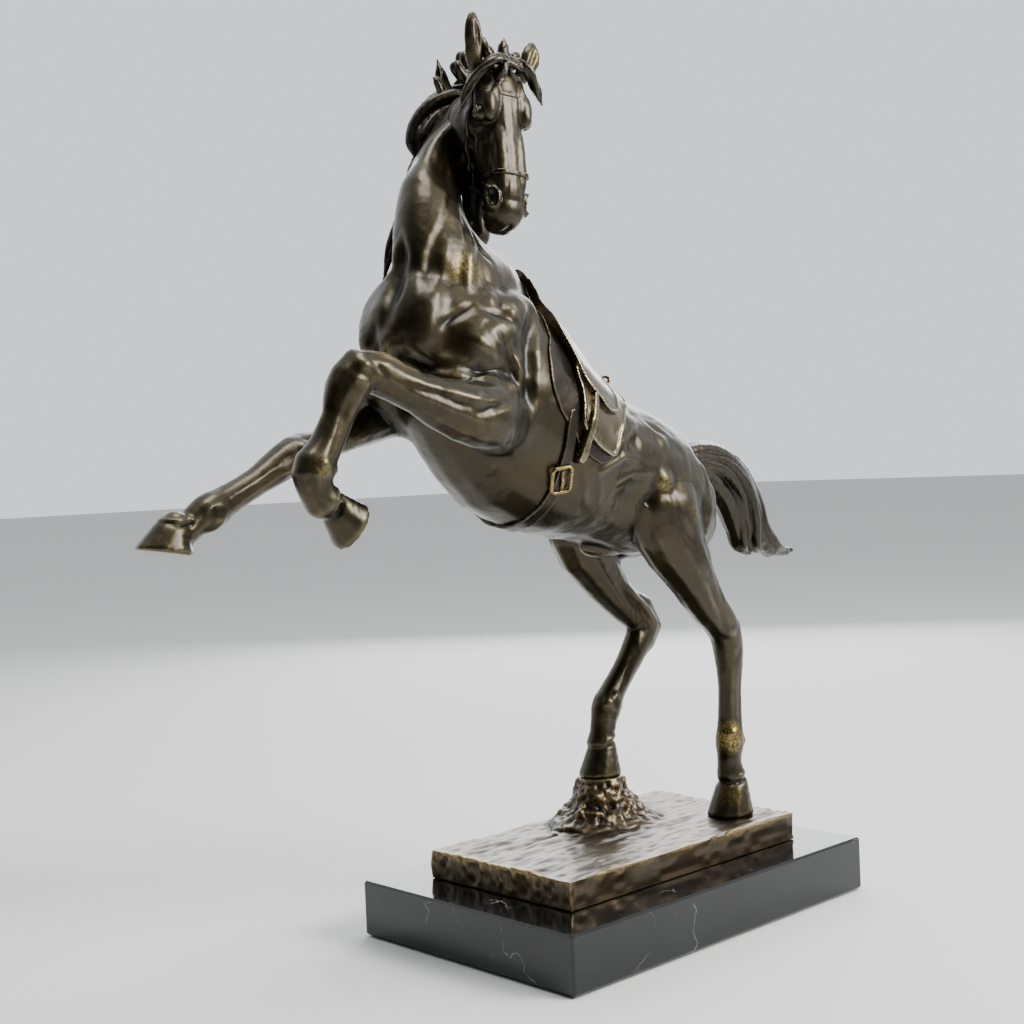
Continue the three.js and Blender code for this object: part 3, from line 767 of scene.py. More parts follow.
class Finish(Enum):
    """The statue's finishes."""

    # brown and olive patina, waxed, over the whole body
    BRONZE = Bronze("patinated_bronze")
    # near-black patina that is left in the strands of the hair
    HAIR = Bronze("blackened_bronze", skin="2b271e", warm="30281c", ridge="6b6350", wear=0.35, shine=0.36)
    # the saddlery is a greyer, lighter bronze
    TACK = Bronze("rubbed_bronze", skin="655d47", warm="655538", ridge="a0977a", bare_and_highlight="c4a860", wear=0.6,
                  shine=0.27)
    # dark straps, and the saddle pad, whose near-black is painted shade: the shadow under the saddle flap's
    # front edge
    DARK_STRAP_AND_PAINTED_SHADE = Bronze("dark_strap_and_painted_shade_bronze", skin="231f19", warm="2c241a", ridge="6f664f", wear=0.4, shine=0.4)
    # dull brown ground with worn edges
    GROUND = Bronze("tooled_ground_bronze", skin="463c2b", warm="4a3722", ridge="857550", wear=0.5,
                    shine=0.40)
    MARBLE = Stone()
    FELT = Cloth()
    STEEL = Steel()

    def material(self) -> bpy.types.Material:
        """Returns the finish's material, made the first time that it is asked for."""
        return bpy.data.materials.get(self.value.name) or self.value.build()


# ---- The horse's body ---------------------------------------------------------------------------------

C = Profile.CREASE  # a stroke that does not name it is round

# Muscle, bone and folds of the trunk and neck, in the horse's frame.
TRUNK_STROKES = [
    Stroke(((150, 42, 346),), 30, 4.5, both=True),  # triceps
    Stroke(((112, 38, 372), (130, 45, 352), (150, 45, 336)), 13, 3.0, both=True),  # shoulder blade
    Stroke(((103, 41, 362), (116, 48, 338), (122, 50, 305), (127, 46, 280)), 9, -4.5, both=True),
    Stroke(((176, 35, 352), (166, 37, 358), (154, 38, 364)), 6, -2.5, C),
    Stroke(((138, 42, 372),), 9, 3.0),
    Stroke(((126, 44, 362),), 8, 2.6),
    Stroke(((150, 42, 362), (136, 44, 358), (124, 47, 352)), 6, -2.8, C),
    Stroke(((134, 47, 340), (126, 50, 325), (124, 52, 312)), 5, 2.2),
    Stroke(((142, 47, 346), (132, 49, 332), (129, 50, 318)), 5, -2.2, C),
    Stroke(((160, 43, 344), (150, 46, 336), (142, 47, 330)), 6, 1.8),
    Stroke(((195, 16, 336), (190, 26, 329), (176, 37, 325), (158, 44, 323), (145, 47, 317), (138, 48, 306)),
           7, -6.0, C, both=True),  # fold over the upper arm
    Stroke(((178, 3, 412), (186, 6, 392), (191, 8, 372), (195, 9, 352)), 9, -5.0),
    Stroke(((152, 19, 458), (167, 16, 436), (178, 4, 410), (184, -6, 388)), 6, 3.0),
    Stroke(((150, 20, 448), (160, 20, 424), (170, 21, 396), (180, 26, 372)), 8, -3.6),
    Stroke(((140, 24, 412), (146, 27, 394), (150, 30, 374)), 7, 2.6),
    Stroke(((158, 22, 416), (160, 25, 398)), 3.5, -1.6, C),
    Stroke(((150, 24, 420), (149, 27, 402)), 3, 1.4),
    Stroke(((137, 22, 416), (132, 26, 402), (124, 28, 394)), 4, -2.0, C),
    Stroke(((200, 0, 352), (202, 0, 336), (196, 0, 322), (184, 0, 306)), 7, -4.0, C),  # breast's middle line
    Stroke(((198, 14, 350), (202, 10, 336)), 10, 2.6, both=True),
    Stroke(((48, 52, 282),), 9, -2.4),
    Stroke(((58, 52, 257), (35, 51, 267), (20, 50, 266)), 4.5, 2.8),
    Stroke(((35, 51, 267), (34, 50, 277), (12, 44, 288)), 4.5, 2.6),
    Stroke(((20, 48, 277),), 9, -3.4),
    Stroke(((20, 36, 303),), 15, 2.6, both=True),
    Stroke(((-6, 38, 292), (-20, 40, 282)), 6, -2.8, C, both=True),
    Stroke(((-14, 44, 276),), 9, 2.2),
    Stroke(((20, 48, 240),), 24, -6.5, both=True),  # flank
    Stroke(((42, 50, 250), (24, 49, 254), (8, 50, 254)), 5, 2.0),
    Stroke(((-9, 50, 249),), 11, 4.5, both=True),  # fold of the stifle
    Stroke(((1, 48, 252), (5, 47, 234), (0, 45, 206)), 8, -4.6, C, both=True),
    Stroke(((-30, 54, 228),), 22, 3.4, both=True),
    Stroke(((-12, 53, 240), (-16, 55, 222), (-28, 57, 204)), 5, -2.0, C),
    Stroke(((-44, 48, 262), (-40, 53, 244), (-44, 54, 226)), 6, -2.2, C),
    Stroke(((-62, 40, 262), (-62, 46, 238), (-56, 47, 210), (-52, 50, 190)), 5, 2.4, both=True),
    Stroke(((-52, 46, 244), (-50, 51, 222), (-44, 53, 200)), 5, -1.8, C, both=True),
    Stroke(((-30, 12, 292), (-60, 0, 274)), 8, 2.0),
    Stroke(((-6, 0, 299), (-40, 0, 288)), 5, -2.2, C),  # middle line of the croup
    Stroke(((92, 38, 262), (88, 30, 238), (80, 14, 222)), 7, -1.6, both=True),  # under the girth
    Stroke(((74, 50, 262), (62, 42, 234)), 4, 0.9, both=True),  # ribs
    Stroke(((58, 50, 256), (48, 42, 230)), 4, 0.9, both=True),
]

# Joints, tendons and folds of the legs.
LEG_STROKES = [
    Stroke(((138, 52, 312),), 10, 4.5),  # left elbow
    Stroke(((178, 67, 297), (163, 67, 300), (150, 63, 304), (140, 58, 307)), 5, -2.4, C),
    Stroke(((196, 64, 309), (178, 67, 307), (164, 66, 306)), 7, 2.4),
    Stroke(((224, 56, 313), (204, 60, 308), (190, 64, 303)), 5, -2.0, C),
    Stroke(((238, 50, 334), (214, 52, 325), (190, 53, 322)), 5, 2.0),
    Stroke(((252, 52, 327),), 8, 2.6),
    Stroke(((256, 50, 334), (244, 55, 326), (236, 54, 316)), 3.5, -1.8, C),
    Stroke(((258, 52, 318), (248, 53, 314)), 3.5, 1.6),
    Stroke(((262, 50, 306), (270, 47, 285), (277, 49, 272)), 4, -1.6, C),
    Stroke(((272, 40, 306), (277, 40, 286)), 4, 1.0),
    Stroke(((293, 40, 263), (287, 47, 262), (278, 50, 262)), 3, -2.0, C),
    Stroke(((281, 50, 270),), 5, 1.8),
    Stroke(((272, 45, 266),), 5, 2.4),
    Stroke(((290, 40, 254), (282, 46, 250)), 4, 1.2),
    Stroke(((246, -16, 282),), 7, 2.4),  # right knee
    Stroke(((234, -18, 290), (250, -12, 282), (262, -16, 272)), 3.5, -1.6, C),
    Stroke(((252, -16, 268), (262, -16, 264)), 4, 1.6),
    Stroke(((268, -15, 266), (286, -13, 257), (302, -12, 250)), 3.5, -1.4, C),
    Stroke(((312, -12, 240),), 5, 2.0),
    Stroke(((310, -14, 252), (318, -9, 244), (318, -12, 234)), 3, -1.6, C),
    Stroke(((-57, 48, 182), (-70, 48, 160), (-84, 46, 146)), 5, 2.4),  # left hamstring
    Stroke(((-46, 55, 180), (-60, 50, 158), (-72, 48, 142)), 5, -2.4, C),
    Stroke(((-96, 38, 142),), 6, 3.0),  # point of the left hock
    Stroke(((-80, 46, 136),), 6, 1.8),
    Stroke(((-72, 42, 134), (-78, 46, 126)), 3.5, -1.8, C),
    Stroke(((-90, 44, 124), (-86, 44, 112)), 4, -1.4, C),
    Stroke(((-85, 43, 112), (-85, 41, 88), (-85, 41, 70)), 3.5, 1.4),
    Stroke(((-92, 42, 108), (-92, 41, 84), (-92, 41, 66)), 3, -1.6, C),
    Stroke(((-84, 41, 62),), 5, 1.8),
    Stroke(((-98, 38, 54),), 5, 2.4),
    Stroke(((-80, 34, 58), (-84, 41, 52), (-94, 43, 50)), 3, -1.6, C),
    Stroke(((-81, 32, 42), (-85, 40, 42)), 3.5, -1.0, C),
    Stroke(((-50, -24, 170), (-64, -22, 154), (-76, -24, 142)), 5, 2.2),  # right hamstring
    Stroke(((-36, -24, 172), (-54, -22, 152), (-60, -22, 138)), 5, -2.2, C),
    Stroke(((-84, -32, 142),), 6, 4.0),  # point of the right hock
    Stroke(((-60, -24, 136), (-56, -22, 124)), 4, 1.4),
    Stroke(((-48, -22, 116), (-38, -22, 98)), 3.5, -1.4, C),
    Stroke(((-20, -22, 88),), 6, 2.2),  # right fetlock
    Stroke(((-36, -28, 82),), 5, 3.0),
    Stroke(((-14, -26, 84), (-22, -19, 78), (-32, -20, 76)), 3, -1.8, C),
    Stroke(((-28, -21, 92),), 4, 1.6),
    Stroke(((-24, -22, 70), (-30, -24, 64)), 4, 1.2),
]

# The face, in the head's frame; most of it is the same on both sides.
FACE_STROKES = [
    Stroke(((38.5, -23, -14),), 9, -3.6, both=True),  # eye socket
    Stroke(((47, -20, -8), (53, -17, -12)), 6, -1.8, both=True),
    Stroke(((18, -18, -6),), 7, -1.8, both=True),  # temple
    Stroke(((22, 0, -2), (40, 0, -2)), 8, -0.7),
    Stroke(((50, -17, -21), (62, -16, -22), (76, -14, -24)), 4, 1.4, both=True),  # crest of the cheek
    Stroke(((54, -15, -8), (72, -14, -8)), 5, -1.6, both=True),
    Stroke(((60, -16, -32), (70, -14, -30), (80, -13, -30)), 7, -2.4, both=True),
    Stroke(((62, -14, -54), (66, -16, -42), (58, -19, -26)), 5, -1.6, both=True),  # edge of the jaw
    Stroke(((84, -13, -22), (85, -16.5, -13), (92, -18, -8), (100, -16, -11), (102, -14, -18)), 3.4, 2.2,
           both=True),
    Stroke(((113, 0, -26), (107, -10, -29), (96, -14, -31)), 2.6, -1.4, C, both=True),
    Stroke(((104, -12, -20),), 6, 1.0, both=True),
    Stroke(((112, 0, -10), (112, 0, -22)), 4, -0.9),
    Stroke(((84, -13, -30), (86, -14, -24), (84, -15, -18)), 3, -1.4, C, both=True),
]
EYE_STROKES = [
    Stroke(((31.5, -20, -15.5), (34, -22.5, -10.5), (38.5, -23.5, -9), (43, -22.5, -11), (46, -20, -15.5)),
           1.7, 1.8, both=True),
    Stroke(((31.5, -20, -15.5), (35, -22.5, -18.5), (39.5, -23, -19.5), (46, -20, -15.5)), 1.6, 1.3,
           both=True),
    Stroke(((38.5, -23.5, -14),), 2.4, -1.5, both=True),
    Stroke(((34, -22, -14), (38.5, -24, -11.2), (43, -22, -14)), 0.9, -0.9, C, both=True),
    Stroke(((28, -20, -8), (34, -22.5, -4), (42, -22, -5)), 1.8, -0.8, C, both=True),
]
EAR_STROKES = [
    Stroke(((3, -18, -6), (-8, -20, -4), (-20, -22, -2)), 3.4, -2.6),
    Stroke(((2, 21, -5), (-6, 25, -4), (-14, 28, -4)), 3.6, -2.2),
]

# The hollow of the throat.
THROAT = Stroke(((131, 23, 503), (148, 13, 476), (158, 11, 456)), 27, -12, taper=False)

# The weld between the forequarters and the hindquarters: its middle, and how far it leans in degrees.
MIDRIFF: Point = (34, 0, 264)
MIDRIFF_TILT = -math.degrees(math.atan(0.5))

# Metal rubbed bright by hands, and painted highlights: golden spots where light catches the left forearm's
# top edge and the haunch.
RUBBED_AND_PAINTED_HIGHLIGHT = [
    Stroke(((-84, 38, 58),), 15, 1.0),
    Stroke(((-84, 41, 66),), 7, 0.7),
    # painted highlight: the golden glint along the left forearm's top edge
    Stroke(((236, 50, 334), (214, 52, 325), (192, 52, 322)), 5, 0.55),
    Stroke(((282, 48, 268),), 9, 0.45),
    Stroke(((-80, 38, 16),), 12, 0.3),
    Stroke(((150, 30, 390),), 16, 0.35),
    Stroke(((-8, 52, 248),), 10, 0.4),
    # painted highlight on the lit face of the left haunch
    Stroke(((-34, 56, 226),), 12, 0.3),
]
RUBBED_FACE = [
    Stroke(((-8, 28, -4),), 10, 0.4),
]


@dataclass(frozen=True)
class Hoof:
    """A hoof, whose horn and coronet are cut into the skin.

    Args:
        sole: the sole's centre.
        toe: the way that the toe points.
        size: its size, as a share of a usual hoof's.
        tall: its height, as a share of a usual hoof's.
    """

    sole: Point
    toe: Point
    size: float
    tall: float

    def strokes(self) -> list[Stroke]:
        """Returns the groove of the coronet and the rings of the horn."""
        toe = Vector(self.toe).normalized()
        side = Vector((0, 1, 0))
        up = toe.cross(side)
        out = []
        for height, share, depth, radius in ((22, 1.0, -1.6, 2.6), (25.5, 0.9, 1.2, 2.6),
                                             (13, 1.2, -0.35, 1.6), (8, 1.3, -0.3, 1.5)):
            ring = []
            for k in range(13):
                a = k * math.tau / 12
                reach = (math.cos(a) * (9.5 if math.cos(a) > 0 else 8.5) * share - 3,
                         math.sin(a) * 9.5 * share)
                lean = (height - 2.5 * math.cos(a)) * self.tall
                at = Vector(self.sole) + self.size * (toe * reach[0] + side * reach[1] + up * lean)
                ring.append(tuple(at))
            out.append(Stroke(tuple(ring), radius, depth, C, taper=False))
        return out


@dataclass
class Body:
    """The skin of the trunk, neck and legs, sculpted as one and then parted at the welds."""

    trunk: tuple[str, ...] = ("forequarters", "hindquarters", "neck")
    limbs: tuple[str, ...] = ("left_foreleg", "right_foreleg", "left_hind_leg", "right_hind_leg")
    cell: float = 1.15
    hooves: tuple[Hoof, ...] = (
        Hoof((256, 40, 234), (0.548, 0, -0.836), 0.98, 0.85),
        Hoof((343, -20, 223), (0.985, 0, 0.179), 1.05, 0.72),
        Hoof((-90, 32, 0.3), (1, 0, 0), 1.15, 1.0),
        Hoof((-17, -30, 34.3), (1, 0, 0), 1.05, 1.0),
    )
    soft: tuple[tuple[Point, float, int], ...] = (
        ((138, 50, 292), 34, 160),  # behind the elbows
        ((138, -46, 302), 34, 120),
        ((-26, 44, 232), 34, 120),  # before the stifles
        ((-22, -44, 232), 34, 120),
    )
    clay: tuple[tuple[Point, Point], ...] = (
        ((134, 43, 294), (20, 15, 21)),  # elbows
        ((134, -39, 302), (20, 15, 21)),
        ((150, 46, 304), (22, 11, 19)),  # roots of the forelegs
        ((146, -40, 310), (24, 12, 20)),
        ((-24, 34, 232), (22, 18, 26)),  # roots of the hind legs
        ((-18, -34, 232), (22, 18, 26)),
        ((2, 0, 205), (24, 9, 9)),  # sheath
    )

    def clump(self) -> bpy.types.Object:
        """Returns the body in rough clay."""
        core = outer_shell(remesh(merged_copy("core", list(self.trunk), 1.0), 3.0))
        skin = Skin(core)
        skin.smooth(30)
        skin.co = sweep(skin.co, CASTING_RISE)
        skin.write()
        limbs = remesh(merged_copy("limbs", list(self.limbs), 0.9), 1.4)
        skin = Skin(limbs)
        skin.smooth(24)
        skin.write()
        lumps = [blob(center, radii) for center, radii in self.clay]
        whole = join([core, limbs, *lumps], "skin")
        return outer_shell(remesh(whole, self.cell))

    def sculpt(self, skin: Skin) -> None:
        """Gives the rough clay its muscles and joints."""
        skin.smooth(14)
        for at, radius, rounds in self.soft:
            skin.melt(at, radius, rounds)
        swept = skin.co
        skin.co = sweep(swept, BACK_FROM_SWEEP)
        strength = 0.55 + 0.25 * np.clip((skin.co[:, 0] - 30) / 60, 0, 1)  # more on the forequarters
        lift = skin.heights([THROAT]) + skin.heights(TRUNK_STROKES) * strength
        skin.co = swept
        skin.raise_by(lift)
        skin.raise_by(skin.heights(LEG_STROKES) * 0.65)
        skin.smooth(16)
        for hoof in self.hooves:
            skin.raise_by(skin.heights(hoof.strokes()))
        self.hammer(skin)
        skin.smooth(1)

    def hammer(self, skin: Skin) -> None:
        """Leaves the marks of the modelling tools: flats on the trunk, finer lumps elsewhere."""
        z, x = skin.co[:, 2], skin.co[:, 0]
        trunk = np.clip((z - 205) / 30, 0, 1) * np.clip((470 - z) / 30, 0, 1) * np.clip((215 - x) / 20, 0, 1)
        big = rough(skin.co, 17, 3) * 0.75 + rough(skin.co, 8, 4) * 0.42
        small = rough(skin.co, 4.2, 5) * 0.17 + rough(skin.co, 2.4, 6) * 0.07
        patch = np.clip(rough(skin.co, 34, 7) * 1.8 + 0.3, 0, 1)
        skin.raise_by(trunk * (0.3 + 0.7 * patch) * big + (0.5 + 0.5 * trunk * patch) * small)

    def part(self, whole: bpy.types.Object) -> dict[str, bpy.types.Object]:
        """Parts the skin at the welds and returns its castings by name."""
        pieces = {}
        for name, reach in (("left_foreleg", 5.0), ("right_foreleg", 5.0), ("left_hind_leg", 5.0),
                            ("right_hind_leg", 5.0), ("neck", 6.0)):
            region = merged_copy("region", [name], 0.3)
            region = outer_shell(remesh(region, 2.4))
            skin = Skin(region)
            skin.smooth(4)
            skin.raise_by(reach)
            skin.write()
            piece = boolean(duplicate(whole, name), region, "INTERSECT", keep=True)
            boolean(whole, region, "DIFFERENCE")
            pieces[name] = outer_shell(piece)
        whole = outer_shell(whole)
        x, y, z = MIDRIFF
        front = box((x + 200, y, z), (400, 400, 600))
        middle = Matrix.Translation(Vector((x, y, z + FLOOR)) * MM)
        front.data.transform(middle @ turn("Y", MIDRIFF_TILT) @ middle.inverted())
        pieces["forequarters"] = boolean(duplicate(whole, "forequarters"), front, "INTERSECT", keep=True)
        pieces["hindquarters"] = boolean(whole, front, "DIFFERENCE")
        return pieces

    def build(self, head: bpy.types.Object) -> Skin:
        """Makes the castings.

        Args:
            head: the finished head, which the neck gives way to.

        Returns:
            The whole skin, which the saddlery is fitted to.
        """
        whole = self.clump()
        skin = Skin(whole)
        self.sculpt(skin)
        skin.write()
        rubbed = np.clip(skin.heights(RUBBED_AND_PAINTED_HIGHLIGHT), 0, 1)
        skin.store(fine=skin.relief(6, 0.22), broad=skin.relief(60, 1.6), rubbed=rubbed)
        form = duplicate(whole, "form")
        boolean(whole, head, "DIFFERENCE", keep=True)
        for name, piece in self.part(whole).items():
            piece.name = name + "_skin"
            hand_over(piece, [name], Finish.BRONZE.material())
        return Skin(form)


@dataclass
class Head:
    """The head: skull, open mouth, eyes, nostrils and ears, in the head's frame."""

    cell: float = 0.62
    clay: tuple[tuple[Point, Point], ...] = (
        ((20, 0, -20), (25, 20, 18)),  # cranium
        ((38, 0, -24), (22, 20.5, 19)),
        ((62, 0, -32), (21, 10, 15)),  # between the jaws
        ((98, 0, -19), (15, 15, 13.5)),  # muzzle
        ((107, 0, -24), (7, 11, 7.5)),  # upper lip
        ((105, 0, -48), (11, 10, 7)),  # chin
    )
    pairs: tuple[tuple[Point, Point], ...] = (
        ((26, -11, -12), (20, 10, 9.5)),  # forehead
        ((42, -10.5, -39), (26, 9.5, 21)),  # jowls
        ((32, -14.5, -7), (12, 6, 5)),  # brows
        ((56, -11, -19), (24, 5.5, 7)),  # crest of the cheeks
        ((66, -6.5, -10), (30, 7.5, 7)),  # bridge of the nose
        ((93, -11.5, -15), (10, 5.5, 8)),  # nostrils
    )
    eyes: tuple[tuple[Point, Point], ...] = (((37.5, -18.4, -12.5), (5.4, 4.8, 4.8)),)
    holes: tuple[tuple[Point, Point], ...] = (((94, -15, -10), (6.4, 4.0, 4.2)),)
    nose: tuple[tuple[Point, float], ...] = (
        ((26, 0, -18), 18), ((44, 0, -18), 16.5), ((60, 0, -16), 14.5), ((76, 0, -15.5), 13.5),
        ((90, 0, -16.5), 13.6), ((102, 0, -19.5), 11.5),
    )
    jaw: tuple[tuple[Point, float], ...] = (
        ((44, 0, -45), 12), ((60, 0, -45), 11.5), ((78, 0, -46), 10), ((94, 0, -49), 9), ((109, 0, -47), 7),
    )
    right_ear: tuple[tuple[Point, float], ...] = (
        ((9, -16, -15), 5), ((-2, -20, -12), 6.6), ((-12, -22, -9), 7.0), ((-21, -23.5, -7), 5.6),
        ((-27, -24, -6), 2.8),
    )
    left_ear: tuple[tuple[Point, float], ...] = (
        ((8, 17, -14), 5), ((0, 22, -11), 7), ((-8, 26, -10), 8.2), ((-14, 28, -10), 7),
        ((-19, 29, -10), 3.6),
    )

    def bar(self, name: str, rings: tuple[tuple[Point, float], ...], flat: float) -> bpy.types.Object:
        """Returns a bar of clay through rings given by their centre and radius."""
        middle = spline([at for at, _ in rings], 24)
        radii = np.interp(np.linspace(0, 1, 24), np.linspace(0, 1, len(rings)), [r for _, r in rings])
        middle = from_head(middle)
        obj = tube(name, middle, radii, 20, flat=flat, across=tuple(HEAD.to_3x3() @ Vector((0, 1, 0))))
        fix_normals(obj)
        return obj

    def build(self) -> Skin:
        """Makes the head and returns its skin."""
        lumps = [blob(center, radii, place=HEAD) for center, radii in self.clay] + self.both(self.pairs)
        lumps += [self.bar("nose", self.nose, 0.92), self.bar("jaw", self.jaw, 0.9)]
        lumps += [self.bar("ear", self.right_ear, 0.62), self.bar("ear", self.left_ear, 0.62)]
        whole = outer_shell(remesh(join(lumps, "head_skin"), self.cell))
        skin = Skin(whole)
        skin.smooth(16)
        skin.raise_by(skin.heights(FACE_STROKES + EAR_STROKES, HEAD))
        skin.smooth(8)
        skin.write()
        for hole in self.both(self.holes):
            boolean(whole, hole, "DIFFERENCE")
        whole = outer_shell(remesh(join([whole, *self.both(self.eyes)], "head_skin"), 0.55))
        skin = Skin(whole)
        skin.smooth(3)
        skin.raise_by(skin.heights(EYE_STROKES, HEAD))
        skin.raise_by(rough(skin.co, 7, 41) * 0.28 + rough(skin.co, 3, 42) * 0.10)
        skin.smooth(1)
        skin.write()
        rubbed = np.clip(skin.heights(RUBBED_FACE, HEAD), 0, 1)
        skin.store(fine=skin.relief(8, 0.22), broad=skin.relief(60, 1.3), rubbed=rubbed)
        hand_over(whole, ["head"], Finish.BRONZE.material())
        return skin

    def both(self, lumps: tuple[tuple[Point, Point], ...]) -> list[bpy.types.Object]:
        """Returns balls of clay for both sides of the face."""
        return [blob((x, side * y, z), radii, place=HEAD) for (x, y, z), radii in lumps for side in (1, -1)]


# ---- Hair ---------------------------------------------------------------------------------------------


@dataclass(frozen=True)
class Lock:
    """A lock of hair, twisted from tapering strands.

    Args:
        path: points from the root to the tip.
        wide: half its greatest width.
        thick: half its greatest thickness.
        strands: how many strands it has.
        twist: how far the strands wind round each other, in turns.
        across: rough direction of its width at the root.
        ragged: how much shorter the shortest strand is, as a share.
        on_head: whether the path is in the head's frame.
    """

    path: tuple[Point, ...]
    wide: float
    thick: float
    strands: int = 5
    twist: float = 0.4
    across: Point = (0, 1, 0)
    ragged: float = 0.2
    on_head: bool = False

    def build(self) -> list[bpy.types.Object]:
        """Returns the strands."""
        count = 8 * len(self.path)
        middle = spline(list(self.path), count)
        if self.on_head:
            middle = from_head(middle)
        elif middle[0, 0] > 0:
            middle = sweep(middle)
        one, two = sides(middle, self.across)
        share = np.linspace(0, 1, count)
        body = 0.45 + 0.55 * np.sin(np.pi * (0.18 + 0.72 * share))
        body *= np.clip((1 - share) / 0.14, 0.25, 1) ** 0.5
        out = [tube("core", middle, 0.52 * min(self.wide, self.thick) * body, 8)]
        for k in range(self.strands):
            phase = math.tau * (k / self.strands + self.twist * share + 0.13 * (k % 2))
            reach = 0.5 * body * (1 - 0.25 * (k % 3) * share)
            path = middle + one * (np.cos(phase) * reach * self.wide)[:, None]
            path += two * (np.sin(phase) * reach * self.thick)[:, None]
            last = int(count * (1 - self.ragged * ((k * 2) % self.strands) / self.strands))
            fade = np.clip((1 - share[:last] / share[last - 1]) / 0.16, 0.22, 1) ** 0.6
            radii = 0.46 * min(self.wide, self.thick) * body[:last] * fade
            out.append(tube("strand", path[:last], np.maximum(radii, 0.5), 8))
        return out


RIDGE = ((112, -8, 520), (128, -18, 496), (138, -20, 466), (150, -24, 438), (160, -28, 412), (168, -31, 386))
CREST = ((124, -8, 502), (130, -20, 478), (127, -25, 446), (117, -22, 416), (99, -10, 388), (86, 0, 366))


@dataclass
class Hair:
    """The mane, forelock and tail."""

    cell: float = 0.75
    locks: tuple[tuple[str, tuple[Lock, ...]], ...] = (
        ("mane", (
            Lock(RIDGE, 6.5, 7, 5, 0.7),
            Lock(CREST, 8.5, 9, 6, 0.9),
            Lock(((126, -20, 484), (134, -28, 466), (141, -34, 446), (138, -40, 424)), 9, 6, 5, 0.4),
            Lock(((126, -22, 456), (132, -34, 436), (133, -42, 414), (124, -47, 394)), 9, 6, 5, 0.4),
            Lock(((118, -16, 424), (119, -34, 408), (113, -45, 388), (102, -48, 370)), 9, 6, 5, 0.4),
            Lock(((120, -14, 494), (134, -20, 480), (146, -24, 458), (150, -28, 436)), 6, 5, 4, 0.5),
            Lock(((112, -4, 398), (112, -26, 384), (108, -40, 368), (96, -46, 352)), 7, 5, 4, 0.4),
        )),
        ("flying_lock", (
            Lock(((116, -2, 508), (128, -9, 504), (139, -15, 494), (146, -19, 480), (147, -19, 464)),
                 13, 12, 8, 0.3, ragged=0.1),
            Lock(((118, -4, 506), (130, -12, 500), (136, -17, 488), (138, -19, 474)), 9, 9, 6, 0.3,
                 ragged=0.1),
        )),
        ("spike_lock", (
            Lock(((124, -2, 503), (128, -8, 511), (131, -10, 521), (133, -11, 533)), 5.5, 5, 4, 0.4,
                 ragged=0.2),
            Lock(((128, -4, 502), (132, -7, 509), (135, -9, 516), (138, -11, 520)), 4.5, 4, 3, 0.3,
                 ragged=0.1),
        )),
        ("poll_lock", (
            Lock(((111, 4, 519), (117, 2, 527), (119, 0, 533), (116, -1, 538)), 7.5, 7, 6, 0.5, ragged=0.1),
            Lock(((116, 4, 514), (122, 2, 520), (126, 0, 526), (125, -1, 531)), 6, 5.5, 5, 0.4, ragged=0.1),
        )),
        ("forelock", (
            Lock(((0, 0, -4), (3, -10, -1), (10, -19, -6), (22, -25, -14), (36, -27, -24)), 5, 4.5, 5, 0.7,
                 on_head=True),
            Lock(((0, 2, -4), (6, 12, 1), (15, 22, -2), (25, 30, -6)), 5, 4.5, 5, 0.6, on_head=True),
            Lock(((2, 0, -8), (-8, 2, -9), (-17, 3, -8)), 5, 4.5, 4, 0.4, ragged=0.3, on_head=True),
            Lock(((4, -12, -3), (5, -3, 1), (6, 8, 1), (8, 17, -3)), 4.5, 3.5, 4, 0.5, on_head=True),
            Lock(((0, -4, -4), (10, -6, 2), (18, -10, 1), (26, -16, -1)), 3.6, 3, 4, 0.5, on_head=True),
            Lock(((2, -8, -8), (-6, -12, -10), (-12, -12, -14), (-12, -8, -22)), 6, 5, 5, 0.5, on_head=True),
            Lock(((0, 4, -8), (-5, 10, -8), (-6, 14, -14), (0, 18, -22)), 5, 4.5, 5, 0.5, on_head=True),
        )),
        ("tail", (
            Lock(((-66, 0, 258), (-98, 0, 266), (-128, -2, 264), (-154, -3, 249), (-171, -3, 225),
                  (-179, -3, 205), (-198, -3, 190), (-224, -3, 186)), 13, 13, 10, 0.4, ragged=0.1),
            Lock(((-66, 0, 254), (-98, -1, 260), (-124, -2, 252), (-142, -3, 236), (-152, -3, 214),
                  (-158, -3, 197), (-170, -3, 188)), 12, 12, 8, 0.4, ragged=0.1),
            Lock(((-96, 2, 262), (-128, 4, 256), (-152, 4, 238), (-163, 3, 214), (-172, 0, 196),
                  (-192, -2, 187)),
                 10, 12, 8, 0.4, ragged=0.12),
            Lock(((-80, -2, 262), (-122, -6, 266), (-156, -8, 252), (-176, -8, 226), (-184, -6, 206),
                  (-206, -4, 192)), 8, 8, 6, 0.5, ragged=0.15),
        )),
    )

    def build(self) -> None:
        """Makes each CAD lock's strands and melts them together."""
        for node, locks in self.locks:
            strands = [strand for lock in locks for strand in lock.build()]
            if node == "tail":
                strands.append(merged_copy("heart", ["tail"], -1.0))
            whole = remesh(join(strands, node + "_strands"), self.cell)
            skin = Skin(whole)
            skin.smooth(2)
            skin.raise_by(rough(skin.co, (2.2, 2.2, 9), 11) * 0.18)
            skin.write()
            skin.store(fine=skin.relief(6, 0.3), broad=skin.relief(40, 1.4), rubbed=np.zeros(len(skin.co)))
            hand_over(whole, [node], Finish.HAIR.material())


# ---- Saddlery -----------------------------------------------------------------------------------------

Outline = list[tuple[float, float]]


